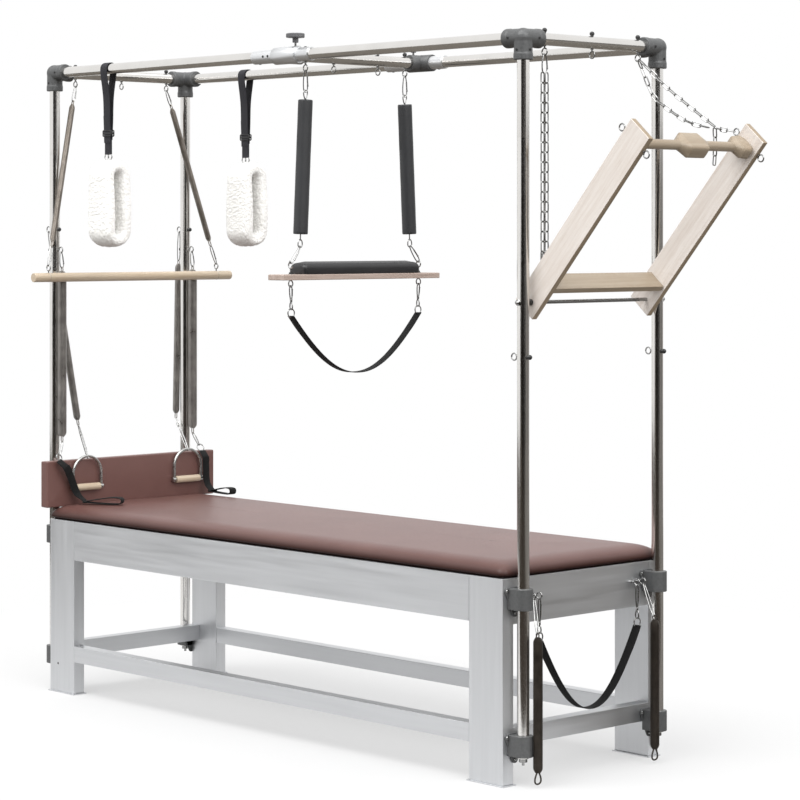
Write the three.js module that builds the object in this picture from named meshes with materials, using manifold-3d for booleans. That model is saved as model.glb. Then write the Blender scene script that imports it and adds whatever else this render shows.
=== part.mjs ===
// Pilates trapeze table: an aluminium bench with a padded top, a frame of polished tubes over it,
// a sliding crossbar with a trapeze, a push-through bar, a roll-down bar, springs, loops and slings.
// Millimetres. X runs along the bench (+X is the push-through end), Y across it, +Z up.
// The origin lies on the floor under the middle of the object.
import * as THREE from 'three';
import { mergeVertices } from 'three/addons/utils/BufferGeometryUtils.js';
import Module from 'manifold-3d';

const wasm = await Module();
wasm.setup();

// Fits
const gap = 0.3;
const overrun = 2;

// Tube frame
const tube_dia = 38;
const post_stand_off = 39;
const post_span_y = 610;
const rail_height = 2250;
const post_low = 88;
const post_plug_high = 12;
const post_plug_dia = 26;
const post_bolt_high = 10;
const post_bolt_dia = 9;

// Corner fittings
const corner_dia = 60;
const corner_arm = 85;
const corner_drop = 67;
const corner_core = 24;

// Bench frame
const bench_length = 2304;
const bench_width = 706;
const bench_height = 625;
const leg_wide = 144;
const leg_deep = 46;
const side_apron_high = 140;
const end_apron_high = 140;
const end_apron_thick = 45;
const stretcher_high = 57;
const stretcher_thick = 45;
const stretcher_low = 118;
const foot_plate_thick = 4;
const foot_plate_lip = 6;

// Post clamps
const clamp_dia = 60;
const clamp_high = 64;
const clamp_plate_thick = 6;
const clamp_ear_y = 29;
const clamp_ear_dia = 24;
const clamp_tail_drop = 12;
const clamp_ear_drop = 10;
const upper_clamp_drop = 93;
const lower_clamp_low = 92;

// Upholstery
const pad_thick = 46;
const pad_crown = 4;
const pad_round = 24;
const pad_draw_in = 5;
const pad_board_thick = 4;
const pad_board_inset = 12;
const headboard_width = 766;
const headboard_high = 158;
const headboard_thick = 38;
const headboard_round = 12;
const headboard_crown = 4;

// Eyebolts
const eye_ring_dia = 21;
const eye_wire = 4.5;
const eye_shank = 7;
const eye_cap_dia = 15;
const eye_set_y = 212;
const eye_reach = 38;
const fused_share = 0.6;
const hooked_share = 0.76;
const link_long = 24;
const link_wide = 16;
const snap_wide = 15;

// Sliding crossbar
const crossbar_x = 112;
const sleeve_dia = 46;
const sleeve_back = 165;
const sleeve_front = 120;
const tee_dia = 58;
const tee_half = 58;
const tee_branch = 48;
const cross_eye_outer = 227;
const cross_eye_inner = 101;
const knob_dia = 63;
const knob_thick = 15;
const knob_neck_dia = 20;
const knob_neck_high = 16;
const knob_screw_dia = 8;
const knob_lift = 56;
const knob_offset = 39;
const knob_ribs = 11;
const knob_rib_depth = 2.5;

// Trapeze
const foam_dia = 49;
const foam_bore = 30;
const foam_length = 446;
const foam_drop = 144;
const foam_spread = 22;
const trapeze_board_length = 714;
const trapeze_board_width = 80;
const trapeze_board_thick = 19;
const trapeze_board_drop = 742;
const trapeze_bolt_y = 292;
const trapeze_pad_length = 530;
const trapeze_pad_thick = 42;
const trapeze_link_high = 32;
const board_eye_lift = 30;
const board_eye_drop = 12;
const board_nut_dia = 20;
const board_nut_high = 5;
const trapeze_sling_drop = 120;
const trapeze_sling_deep = 194;
const sling_ring_dia = 28;
const sling_snap_long = 60;

// Roll-down bar
const dowel_dia = 33;
const dowel_length = 915;
const dowel_lean = 81;
const dowel_drop = 747;
const dowel_eye_inset = 66.5;
const dowel_eye_lift = 8;
const dowel_screw_dia = 5;
const roll_spring_dia = 22;
const roll_spring_drop = 114;
const roll_spring_lift = 131;

// Springs on the posts
const arm_spring_dia = 27;
const leg_spring_dia = 34;
const spring_wire = 4.2;
const spring_curls = 4;
const leg_eye_drop = 648;
const arm_eye_drop = 573;
const leg_spring_lean = 45;
const leg_spring_drop = 78;
const leg_spring_lift = 87.8;
const arm_spring_drop = 132;
const arm_spring_lift = 141.8;
const arm_spring_lean_x = 14;
const arm_spring_lean_y = 92;
const arm_spring_back_out = 28;
const arm_spring_back_y = 282;
const right_eye_drop = 164;

// Handles and foot straps
const handle_width = 136;
const handle_high = 112;
const handle_rod = 10;
const grip_dia = 26;
const grip_length = 112;
const grip_bolt_dia = 8;
const grip_boss_dia = 16;
const handle_grip_lift = 58.8;
const handle_left_y = -222;
const handle_right_y = 246;
const strap_width = 32;
const strap_thick = 3;
const strap_ring_dia = 28;
const strap_fold_high = 18;
const strap_ring_front_y = 340;
const strap_junction_front_y = 262;
const strap_end_front_y = 190;
const strap_ring_back_y = 318;
const strap_junction_back_y = 330;
const strap_reach = 181.7;
const carabiner_width = 20;
const handle_leg_drop = 8;
const handle_snap_wide = 22;

// Push-through bar
const arm_length = 708;
const arm_width = 92;
const arm_thick = 20;
const arm_face_y = 271;
const arm_lean = 41.2;
const pivot_drop = 795;
const pivot_up_arm = 37;
const pivot_across = 37;
const axle_dia = 12;
const axle_nut_dia = 20;
const axle_nut_long = 14;
const screw_lift = 6;
const screw_dia = 5;
const brace_along = 98;
const brace_thick = 19;
const brace_inset = 8;
const brace_width = 69;
const handle_along = 652;
const handle_dowel_dia = 30;
const block_length = 78;
const block_wide = 76;
const block_deep = 40;
const block_chamfer = 14;
const end_block_length = 30;
const arm_eye_along = 661;

// Sheepskin loops
const fleece_width = 112;
const fleece_depth = 104;
const fleece_high = 310;
const fleece_thick = 38;
const fleece_squareness_share = 0.72;
const fleece_drop = 636;
const fleece_front_off = 325;
const fleece_back_off = 359;
const loop_strap_width = 38;
const strap_meet = 60;
const strap_meet_off = 3;
const strap_run_off = 7;
const strap_waist_share = 0.6;
const strap_tab_thick = 9;
const buckle_wide = 46;
const buckle_thick = 16;
const buckle_high = 20;
const buckle_lift = 14;

// Chains
const link_wire = 4;
const link_pitch = 30;
const link_bite = 0.8;
const link_inner_width = 9;
const front_chain_links = 19;
const front_hook_long = 66;

// Spring set and safety sling at the push-through end
const low_eye_drop = 59;
const low_eye_reach = 27;
const low_spring_eye_y = 250;
const low_sling_eye_y = 222;
const low_spring_dia = 30;
const low_spring_drop = 114;
const low_spring_low = 45;
const low_spring_off = 38;
const low_spring_front_y = -281;
const low_spring_back_y = 249;
const low_loop_long = 32;
const low_loop_wide = 26;
const low_sling_drop = 136;
const low_sling_deep = 230;

// Counts of facets
const tube_sides = 12;
const collar_sides = 12;
const wire_sides = 4;
const spring_sides = 4;
const link_sides = 3;
const ring_steps = 6;
const strap_ring_steps = 8;
const axle_sides = 8;
const grip_bore_sides = 8;

// Worked-out places
const tube_r = tube_dia / 2;
const post_y = post_span_y / 2;
const bench_x = bench_length / 2;
const post_x = bench_x + post_stand_off;
const bench_y = bench_width / 2;
const eye_r = eye_ring_dia / 2;
const wire_r = eye_wire / 2;
const pad_top = bench_height + gap + pad_board_thick + gap + pad_thick;
const headboard_back = -post_x + tube_r + gap + headboard_round;
const headboard_front = headboard_back + headboard_thick;
const headboard_low = pad_top + 2 * gap;
const handle_x = headboard_front + headboard_crown + grip_dia / 2 + gap;
const strap_hang_x = handle_x + grip_dia / 2 + strap_thick / 2 + gap;
const rail_eye_z = rail_height - eye_reach;
const headboard_top = headboard_low + headboard_high;
const strap_end_x = headboard_front + strap_reach;
const foam_top = rail_height - foam_drop;
const trapeze_board_low = rail_height - trapeze_board_drop;
const trapeze_sling_top = trapeze_board_low - trapeze_sling_drop;
const trapeze_sling_low = trapeze_sling_top - trapeze_sling_deep;
const dowel_x = -post_x + dowel_lean;
const dowel_z = rail_height - dowel_drop;
const dowel_eye_y = dowel_length / 2 - dowel_eye_inset;
const roll_spring_top = rail_height - roll_spring_drop;
const roll_spring_low = dowel_z + roll_spring_lift;
const leg_eye_z = rail_height - leg_eye_drop;
const arm_eye_z = rail_height - arm_eye_drop;
const leg_spring_x = -post_x + leg_spring_lean;
const leg_spring_top = leg_eye_z - leg_spring_drop;
const leg_spring_low = headboard_top + leg_spring_lift;
const arm_spring_top = arm_eye_z - arm_spring_drop;
const arm_spring_low = headboard_top + arm_spring_lift;
const handle_grip_z = headboard_low + handle_grip_lift;
const pivot_z = rail_height - pivot_drop;
const right_eye_z = pivot_z - right_eye_drop;
const fleece_low = rail_height - fleece_drop;
const low_eye_z = bench_height - low_eye_drop;
const low_spring_top = low_eye_z - low_spring_drop;
const low_spring_x = post_x + low_spring_off;
const low_sling_top = low_eye_z - low_sling_drop;
const low_sling_low = low_sling_top - low_sling_deep;
const hook_step = eye_wire * hooked_share + 2 * gap;
const bearing_step = eye_wire * fused_share;
const coil_lead = spring_wire * 1.5;

// Materials
const finish = (color, roughness, metalness) => new THREE.MeshStandardMaterial({ color, roughness, metalness });
const brushed_frame = () => finish(0xbfc2c5, 0.42, 0.75);
const polished_tube = () => finish(0xc9c6c2, 0.16, 0.95);
const cast_grey = () => finish(0x8c8f92, 0.5, 0.35);
const bright_wire = () => finish(0xb9b9b7, 0.25, 0.9);
const dark_spring = () => finish(0x4b4740, 0.4, 0.75);
const upholstery = () => finish(0x7d554f, 0.5, 0.0);
const black_vinyl = () => finish(0x1d1b1c, 0.55, 0.0);
const black_foam = () => finish(0x242325, 0.85, 0.0);
const webbing = () => finish(0x232225, 0.8, 0.0);
const grey_webbing = () => finish(0x47464b, 0.8, 0.0);
const pale_wood = () => finish(0xdcc29b, 0.55, 0.0);
const sheepskin = () => finish(0xf2f1ee, 0.95, 0.0);
const board_wood = () => finish(0xb98f75, 0.55, 0.0);
const knob_plastic = () => finish(0x5c5d60, 0.45, 0.0);

// Solids
const vec = (x, y, z) => new THREE.Vector3(x, y, z);
const X = vec(1, 0, 0);
const Y = vec(0, 1, 0);
const Z = vec(0, 0, 1);

function solid(geometry) {
  const plain = geometry.clone();
  plain.deleteAttribute('normal');
  plain.deleteAttribute('uv');
  const merged = mergeVertices(plain, 1e-4);
  return new wasm.Manifold(new wasm.Mesh({
    numProp: 3,
    vertProperties: new Float32Array(merged.attributes.position.array),
    triVerts: new Uint32Array(merged.index.array),
  }));
}

function toGeometry(body) {
  const mesh = body.getMesh();
  const geometry = new THREE.BufferGeometry();
  geometry.setAttribute('position', new THREE.BufferAttribute(new Float32Array(mesh.vertProperties), 3));
  geometry.setIndex(new THREE.BufferAttribute(new Uint32Array(mesh.triVerts), 1));
  geometry.computeVertexNormals();
  return geometry;
}

function joined(pieces, cuts = []) {
  let body = solid(pieces[0]);
  for (const piece of pieces.slice(1)) body = body.add(solid(piece));
  for (const cut of cuts) body = body.subtract(solid(cut));
  return toGeometry(body);
}

function box(size, centre) {
  const geometry = new THREE.BoxGeometry(size[0], size[1], size[2]);
  geometry.translate(centre[0], centre[1], centre[2]);
  return geometry;
}

// A box given by its low and high corners
function span(low, high) {
  const size = high.map((value, i) => value - low[i]);
  return box(size, low.map((value, i) => value + size[i] / 2));
}

// Radius of a many-sided bore whose flats clear a pin of this diameter as it turns
function boreRadius(pin_dia, sides) {
  return (pin_dia / 2 + gap) / Math.cos(Math.PI / sides);
}

// A cylinder between two points, or a cone if it has two radii
function rod(from, to, radius, sides = tube_sides, end_radius = radius) {
  const axis = to.clone().sub(from);
  const geometry = new THREE.CylinderGeometry(end_radius, radius, axis.length(), sides);
  geometry.applyQuaternion(new THREE.Quaternion().setFromUnitVectors(Y, axis.clone().normalize()));
  const middle = from.clone().add(to).multiplyScalar(0.5);
  geometry.translate(middle.x, middle.y, middle.z);
  return geometry;
}

function ball(centre, radius, sides = 6) {
  const geometry = new THREE.SphereGeometry(radius, sides, Math.max(3, sides / 2));
  geometry.translate(centre.x, centre.y, centre.z);
  return geometry;
}

// Joins sections of equal point counts into one closed body
function loft(sections, closed = false) {
  const count = sections[0].length;
  const points = sections.flat().map((p) => [p.x, p.y, p.z]);
  const index = [];
  const rows = closed ? sections.length : sections.length - 1;
  for (let i = 0; i < rows; i++) {
    const a = i * count;
    const b = ((i + 1) % sections.length) * count;
    for (let j = 0; j < count; j++) {
      const k = (j + 1) % count;
      index.push(a + j, a + k, b + k, a + j, b + k, b + j);
    }
  }
  if (!closed) {
    const last = (sections.length - 1) * count;
    for (let j = 1; j < count - 1; j++) {
      index.push(0, j + 1, j);
      index.push(last, last + j, last + j + 1);
    }
  }
  const geometry = new THREE.BufferGeometry();
  geometry.setAttribute('position', new THREE.BufferAttribute(new Float32Array(points.flat()), 3));
  geometry.setIndex(index);
  return geometry;
}

// A round wire along points, its section carried without twist
function wire(points, radius, closed = false, sides = wire_sides) {
  const count = points.length;
  const tangent = (i) => {
    const before = closed ? points[(i + count - 1) % count] : points[Math.max(i - 1, 0)];
    const after = closed ? points[(i + 1) % count] : points[Math.min(i + 1, count - 1)];
    const arriving = points[i].clone().sub(before).normalize();
    const leaving = after.clone().sub(points[i]).normalize();
    return arriving.add(leaving).normalize();
  };
  let along = tangent(0);
  const guide = Math.abs(along.z) < 0.9 ? Z : X;
  let side = guide.clone().cross(along).normalize();
  const sections = points.map((p, i) => {
    const next = tangent(i);
    side.applyQuaternion(new THREE.Quaternion().setFromUnitVectors(along, next));
    along = next;
    const up = along.clone().cross(side);
    return Array.from({ length: sides }, (_, j) => {
      const turn = (2 * Math.PI * j) / sides;
      return p.clone().addScaledVector(side, radius * Math.cos(turn)).addScaledVector(up, radius * Math.sin(turn));
    });
  });
  return loft(sections, closed);
}

// A flat band along points, its width lying along the side given at each point
function band(points, width, thick, sides, closed = false) {
  const count = points.length;
  const sections = points.map((p, i) => {
    const before = closed ? points[(i + count - 1) % count] : points[Math.max(i - 1, 0)];
    const after = closed ? points[(i + 1) % count] : points[Math.min(i + 1, count - 1)];
    const along = after.clone().sub(before).normalize();
    const given = Array.isArray(sides) ? sides[i] : sides;
    const up = along.clone().cross(given).normalize();
    const side = up.clone().cross(along).normalize();
    const corner = (s, t) => p.clone().addScaledVector(side, (s * width) / 2).addScaledVector(up, (t * thick) / 2);
    return [corner(1, -1), corner(1, 1), corner(-1, 1), corner(-1, -1)];
  });
  return loft(sections, closed);
}

// A ring of wire: centre, ring radius to the wire's middle, the ring's normal, and the way a flat of it faces
function ring(centre, radius, normal, facing = Z, steps = ring_steps) {
  const u = facing.clone().addScaledVector(normal, -facing.dot(normal)).normalize();
  const v = normal.clone().cross(u);
  const reach = radius / Math.cos(Math.PI / steps);
  const points = Array.from({ length: steps }, (_, i) => {
    const angle = (2 * Math.PI * (i + 0.5)) / steps;
    return centre.clone().addScaledVector(u, reach * Math.cos(angle)).addScaledVector(v, reach * Math.sin(angle));
  });
  return wire(points, wire_r, true);
}

// A long loop of wire between two points, widest midway, as wide as given in the direction across
const tip_share = 0.76;
function loop(from, to, width, across, wire_radius = wire_r, low_share = 1) {
  const along = to.clone().sub(from).normalize();
  const side = across.clone().addScaledVector(along, -across.dot(along)).normalize();
  const half = width / 2;
  const mid = from.clone().add(to).multiplyScalar(0.5);
  const at = (base, s) => base.clone().addScaledVector(side, s * half);
  const points = [
    at(from, tip_share), at(mid, 1), at(to, tip_share * low_share),
    at(to, -tip_share * low_share), at(mid, -1), at(from, -tip_share),
  ];
  return wire(points, wire_radius, true);
}

// The end wire of a loop that hooks a ring and leaves it in a given direction
function hookOn(centre, normal, toward, radius = eye_r, step = hook_step) {
  const bearing = toward.clone().addScaledVector(normal, -toward.dot(normal)).normalize();
  return centre.clone().addScaledVector(bearing, radius).addScaledVector(toward, -step);
}

// A point a distance along the line from one point toward another
function toward(from, to, distance) {
  return from.clone().addScaledVector(to.clone().sub(from).normalize(), distance);
}

// An eyebolt through a tube: black cap on one side, eye on the other, along the given direction
function eyebolt(centre, direction, normal) {
  const at = (distance) => centre.clone().addScaledVector(direction, distance);
  return [
    rod(at(-tube_r - eye_cap_dia / 4), at(eye_reach - eye_r), eye_shank / 2, 5),
    ball(at(-tube_r - eye_cap_dia / 4), eye_cap_dia / 2),
    ring(at(eye_reach), eye_r, normal),
  ];
}

// Points of a circular arc about a centre in the plane of two directions
function arc(centre, radius, first, second, from_turn, to_turn, steps) {
  return Array.from({ length: steps + 1 }, (_, i) => {
    const angle = 2 * Math.PI * (from_turn + ((to_turn - from_turn) * i) / steps);
    return centre.clone()
      .addScaledVector(first, radius * Math.cos(angle))
      .addScaledVector(second, radius * Math.sin(angle));
  });
}

// A coil spring from top to bottom, both ends drawn in to the axis and run straight to their hooks
let least_gap = Infinity;
function coil(top, low, diameter) {
  const along = low.clone().sub(top).normalize();
  const side = Y.clone().cross(along).normalize();
  const out = along.clone().cross(side);
  const length = top.distanceTo(low);
  const radius = diameter / 2 - spring_wire / 2;
  const steps = spring_curls * 8;
  const lead = coil_lead;
  const points = [top.clone().addScaledVector(along, -lead), top.clone()];
  for (let i = 0; i <= steps; i++) {
    const turn = (2 * Math.PI * i) / 8;
    points.push(top.clone()
      .addScaledVector(along, lead + ((length - 2 * lead) * i) / steps)
      .addScaledVector(side, radius * Math.cos(turn))
      .addScaledVector(out, radius * Math.sin(turn)));
  }
  points.push(low.clone(), low.clone().addScaledVector(along, lead));
  for (let i = 2; i < points.length - 2; i++) {
    for (let j = i + 6; j < points.length - 2; j++) {
      least_gap = Math.min(least_gap, points[i].distanceTo(points[j]) - spring_wire);
    }
  }
  return wire(points, spring_wire / 2, false, spring_sides);
}

const object = new THREE.Group();
function node(name, geometry, material, position = [0, 0, 0], turn = 0) {
  const mesh = new THREE.Mesh(geometry, material);
  mesh.name = name;
  mesh.position.set(position[0], position[1], position[2]);
  mesh.rotation.z = turn;
  object.add(mesh);
  return mesh;
}

// Bench frame
function endFrame(name, turn, eyes) {
  const leg = (side) => [
    span([bench_x - leg_wide, side * bench_y - (side > 0 ? leg_deep : 0), foot_plate_thick],
      [bench_x, side * bench_y + (side > 0 ? 0 : leg_deep), bench_height]),
    span([bench_x - leg_wide - foot_plate_lip,
      side * bench_y - (side > 0 ? leg_deep + foot_plate_lip : foot_plate_lip), 0],
      [bench_x + foot_plate_lip, side * bench_y + (side > 0 ? foot_plate_lip : leg_deep + foot_plate_lip),
        foot_plate_thick]),
  ];
  const reach = bench_y - leg_deep / 2;
  const cross = (low, high, thick) => span([bench_x - thick, -reach, low], [bench_x, reach, high]);
  node(name, joined([
    ...leg(-1), ...leg(1),
    cross(bench_height - end_apron_high, bench_height, end_apron_thick),
    cross(stretcher_low, stretcher_low + stretcher_high, stretcher_thick),
    ...eyes.flatMap((y) => [
      rod(vec(bench_x - eye_shank, y, low_eye_z), vec(bench_x + low_eye_reach - eye_r, y, low_eye_z),
      eye_shank / 2, 6),
      ring(vec(bench_x + low_eye_reach, y, low_eye_z), eye_r, Y),
    ]),
  ]), brushed_frame(), [0, 0, 0], turn);
}
endFrame('end_frame_right', 0, [-low_spring_eye_y, -low_sling_eye_y, low_sling_eye_y, low_spring_eye_y]);
endFrame('end_frame_left', Math.PI, []);

for (const [place, side] of [['front', -1], ['back', 1]]) {
  const half = bench_x - leg_wide - gap;
  const y = side * (bench_y - stretcher_thick / 2);
  const rail = (low, high) => span([-half, -stretcher_thick / 2, low], [half, stretcher_thick / 2, high]);
  node(`side_apron_${place}`, rail(bench_height - side_apron_high, bench_height), brushed_frame(), [0, y, 0]);
  node(`side_stretcher_${place}`, rail(stretcher_low, stretcher_low + stretcher_high), brushed_frame(), [0, y, 0]);
}

// Upholstery: sections of a rounded rectangle drawn in at the bottom and rounded to a crowned top
function roundedSection(half_long, half_wide, corner, height) {
  const points = [];
  for (const [sx, sy, start] of [[1, -1, -0.25], [1, 1, 0], [-1, 1, 0.25], [-1, -1, 0.5]]) {
    const centre = vec(sx * (half_long - corner), sy * (half_wide - corner), height);
    points.push(...arc(centre, corner, X, Y, start, start + 0.25, 2));
  }
  return points;
}

function cushion(long, wide, thick, round, crown, draw_in, corner) {
  const section = (inset, height) => roundedSection(long / 2 - inset, wide / 2 - inset, corner, height);
  const sections = [section(draw_in, 0), section(0, thick * 0.3), section(0, thick - round)];
  for (const share of [0.25, 0.5, 0.75, 1]) {
    const angle = (share * Math.PI) / 2;
    sections.push(section(round * (1 - Math.cos(angle)), thick - round + round * Math.sin(angle)));
  }
  for (const share of [0.35, 0.7, 1]) {
    const inset = round + (wide / 2 - round - corner - draw_in) * share;
    sections.push(section(inset, thick + crown * Math.sin((share * Math.PI) / 2)));
  }
  return loft(sections);
}

const pad_low = bench_height + gap + pad_board_thick + gap;
node('pad_board', span(
  [-bench_x + pad_board_inset, -bench_y + pad_board_inset, 0],
  [bench_x - pad_board_inset, bench_y - pad_board_inset, pad_board_thick],
), board_wood(), [0, 0, bench_height + gap]);
node('bench_pad', cushion(bench_length, bench_width, pad_thick, pad_round, pad_crown, pad_draw_in, pad_round),
  upholstery(), [0, 0, pad_low]);

function headboard() {
  const board = cushion(headboard_width, headboard_high, headboard_thick, headboard_round, headboard_crown,
    headboard_crown, headboard_round);
  board.rotateZ(Math.PI / 2);
  board.rotateY(Math.PI / 2);
  const seat = (side) => span([-headboard_round, side * post_y - tube_r, -headboard_high / 4],
    [headboard_crown, side * post_y + tube_r, headboard_high / 4]);
  return joined([board, seat(-1), seat(1)]);
}
node('headboard', headboard(), upholstery(),
  [headboard_back, 0, headboard_low + headboard_high / 2]);

// Posts with their two clamps, an end plug and their eyebolts, built for the right end
function clampBody(low) {
  const to_plate = post_x - bench_x - gap;
  const top = low + clamp_high;
  const plate = new THREE.Shape();
  const ear = clamp_ear_dia / 2;
  plate.absarc(clamp_ear_y, top - clamp_ear_drop, ear, -0.4, Math.PI / 2, false);
  plate.absarc(-clamp_ear_y, top - clamp_ear_drop, ear, Math.PI / 2, Math.PI + 0.4, false);
  plate.absarc(0, low - clamp_tail_drop, ear, Math.PI + 0.4, 2 * Math.PI - 0.4, false);
  const flange = new THREE.ExtrudeGeometry(plate, { depth: clamp_plate_thick, bevelEnabled: false, curveSegments: 2 });
  flange.applyMatrix4(new THREE.Matrix4().makeBasis(Y, Z, X));
  flange.translate(-to_plate, 0, 0);
  const saddle = new THREE.Shape();
  saddle.moveTo(-to_plate, -clamp_dia / 2);
  saddle.absarc(0, 0, clamp_dia / 2, -Math.PI / 2, Math.PI / 2, false);
  saddle.lineTo(-to_plate, clamp_dia / 2);
  const body = new THREE.ExtrudeGeometry(saddle, { depth: clamp_high, bevelEnabled: false, curveSegments: 4 });
  body.translate(0, 0, low);
  return [flange, body];
}

function post(name, side_x, side_y, eyes) {
  const top = rail_height - corner_core - gap;
  const pieces = [
    rod(vec(0, 0, post_low), vec(0, 0, top), tube_r),
    rod(vec(0, 0, post_low - post_plug_high), vec(0, 0, post_low + overrun), post_plug_dia / 2, 8),
    rod(vec(0, 0, post_low - post_plug_high - post_bolt_high), vec(0, 0, post_low), post_bolt_dia / 2, 6),
    ...clampBody(bench_height - upper_clamp_drop),
    ...clampBody(lower_clamp_low),
  ];
  for (const [height, direction] of eyes) {
    pieces.push(...eyebolt(vec(0, 0, height), X.clone().multiplyScalar(direction * side_x), Y));
  }
  const holes = side_x > 0
    ? [rod(vec(0, -tube_dia, pivot_z), vec(0, tube_dia, pivot_z), boreRadius(axle_dia, axle_sides), axle_sides)]
    : [];
  node(name, joined(pieces, holes), polished_tube(), [side_x * post_x, side_y * post_y, 0],
    side_x > 0 ? 0 : Math.PI);
}
for (const [place, side] of [['front', -1], ['back', 1]]) {
  post(`post_${place}_right`, 1, side, [[right_eye_z, -1]]);
  post(`post_${place}_left`, -1, side, [[leg_eye_z, 1], [arm_eye_z, -1]]);
}

// Corner fittings: three collars on a round core, bored for the tubes
function cornerFitting(name, side_x, side_y) {
  const arm = corner_arm;
  const r = corner_dia / 2;
  const bore = tube_r + gap;
  const mouths = [vec(-side_x * arm, 0, 0), vec(0, -side_y * arm, 0), vec(0, 0, -corner_drop)];
  const collars = mouths.map((mouth) => rod(vec(0, 0, 0), mouth, r, collar_sides));
  const bores = mouths.map((mouth) => {
    const direction = mouth.clone().normalize();
    return rod(direction.clone().multiplyScalar(corner_core), mouth.clone().addScaledVector(direction, overrun),
      bore, tube_sides);
  });
  node(name, joined([ball(vec(0, 0, 0), r, collar_sides), ...collars], bores), cast_grey(),
    [side_x * post_x, side_y * post_y, rail_height]);
}
for (const [place, side] of [['front', -1], ['back', 1]]) {
  cornerFitting(`corner_${place}_right`, 1, side);
  cornerFitting(`corner_${place}_left`, -1, side);
}

// Rails
const rail_inset = corner_core + gap;
for (const [place, side] of [['front', -1], ['back', 1]]) {
  const half = post_x - rail_inset;
  node(`long_rail_${place}`, rod(vec(-half, 0, 0), vec(half, 0, 0), tube_r), polished_tube(),
    [0, side * post_y, rail_height]);
}
for (const [place, side] of [['right', 1], ['left', -1]]) {
  const half = post_y - rail_inset;
  const bolts = [-1, 0, 1].flatMap((i) => eyebolt(vec(0, i * eye_set_y, 0), Z.clone().negate(), Y));
  node(`end_rail_${place}`, joined([rod(vec(0, -half, 0), vec(0, half, 0), tube_r), ...bolts]), polished_tube(),
    [side * post_x, 0, rail_height]);
}

// Sliding crossbar: two tee sleeves on the long rails, the cross tube and its four eyebolts, two knobs
const tee_core = tube_r + 3 * gap;
function teeSleeve(name, side) {
  const r = tube_r + gap;
  const branch = vec(0, -side * (tee_branch), 0);
  const body = [
    rod(vec(-sleeve_back, 0, 0), vec(sleeve_front, 0, 0), sleeve_dia / 2, collar_sides),
    rod(vec(-tee_half, 0, 0), vec(tee_half, 0, 0), tee_dia / 2, collar_sides),
    rod(vec(0, 0, 0), branch, tee_dia / 2, collar_sides),
  ];
  const cuts = [
    rod(vec(-sleeve_back - overrun, 0, 0), vec(sleeve_front + overrun, 0, 0), r),
    rod(vec(0, -side * tee_core, 0), branch.clone().addScaledVector(Y, -side * overrun), r),
    rod(vec(-side * knob_offset, 0, 0), vec(-side * knob_offset, 0, tee_dia), boreRadius(knob_screw_dia, 8), 8),
  ];
  node(name, joined(body, cuts), cast_grey(), [crossbar_x, side * post_y, rail_height]);
}

function knob(name, side) {
  const rim = new THREE.Shape();
  const r = knob_dia / 2;
  for (let i = 0; i < knob_ribs * 2; i++) {
    const angle = (Math.PI * i) / knob_ribs;
    const reach = i % 2 ? r - knob_rib_depth : r;
    if (i === 0) rim.moveTo(reach, 0);
    else rim.lineTo(reach * Math.cos(angle), reach * Math.sin(angle));
  }
  const disc = new THREE.ExtrudeGeometry(rim, { depth: knob_thick, bevelEnabled: false });
  disc.translate(0, 0, knob_lift);
  const screw_low = tube_r + gap;
  node(name, joined([
    disc,
    rod(vec(0, 0, knob_lift - knob_neck_high), vec(0, 0, knob_lift + gap), knob_neck_dia / 2, 12),
    rod(vec(0, 0, screw_low), vec(0, 0, knob_lift), knob_screw_dia / 2, 8),
  ]), knob_plastic(), [crossbar_x - side * knob_offset, side * post_y, rail_height]);
}

for (const [place, side] of [['front', -1], ['back', 1]]) {
  teeSleeve(`tee_sleeve_${place}`, side);
  knob(`knob_${place}`, side);
}
{
  const half = post_y - tee_core - gap;
  const bolts = [-cross_eye_outer, -cross_eye_inner, cross_eye_inner, cross_eye_outer]
    .flatMap((y) => eyebolt(vec(0, y, 0), Z.clone().negate(), Y));
  node('cross_tube', joined([rod(vec(0, -half, 0), vec(0, half, 0), tube_r), ...bolts]), polished_tube(),
    [crossbar_x, 0, rail_height]);
}

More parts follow.
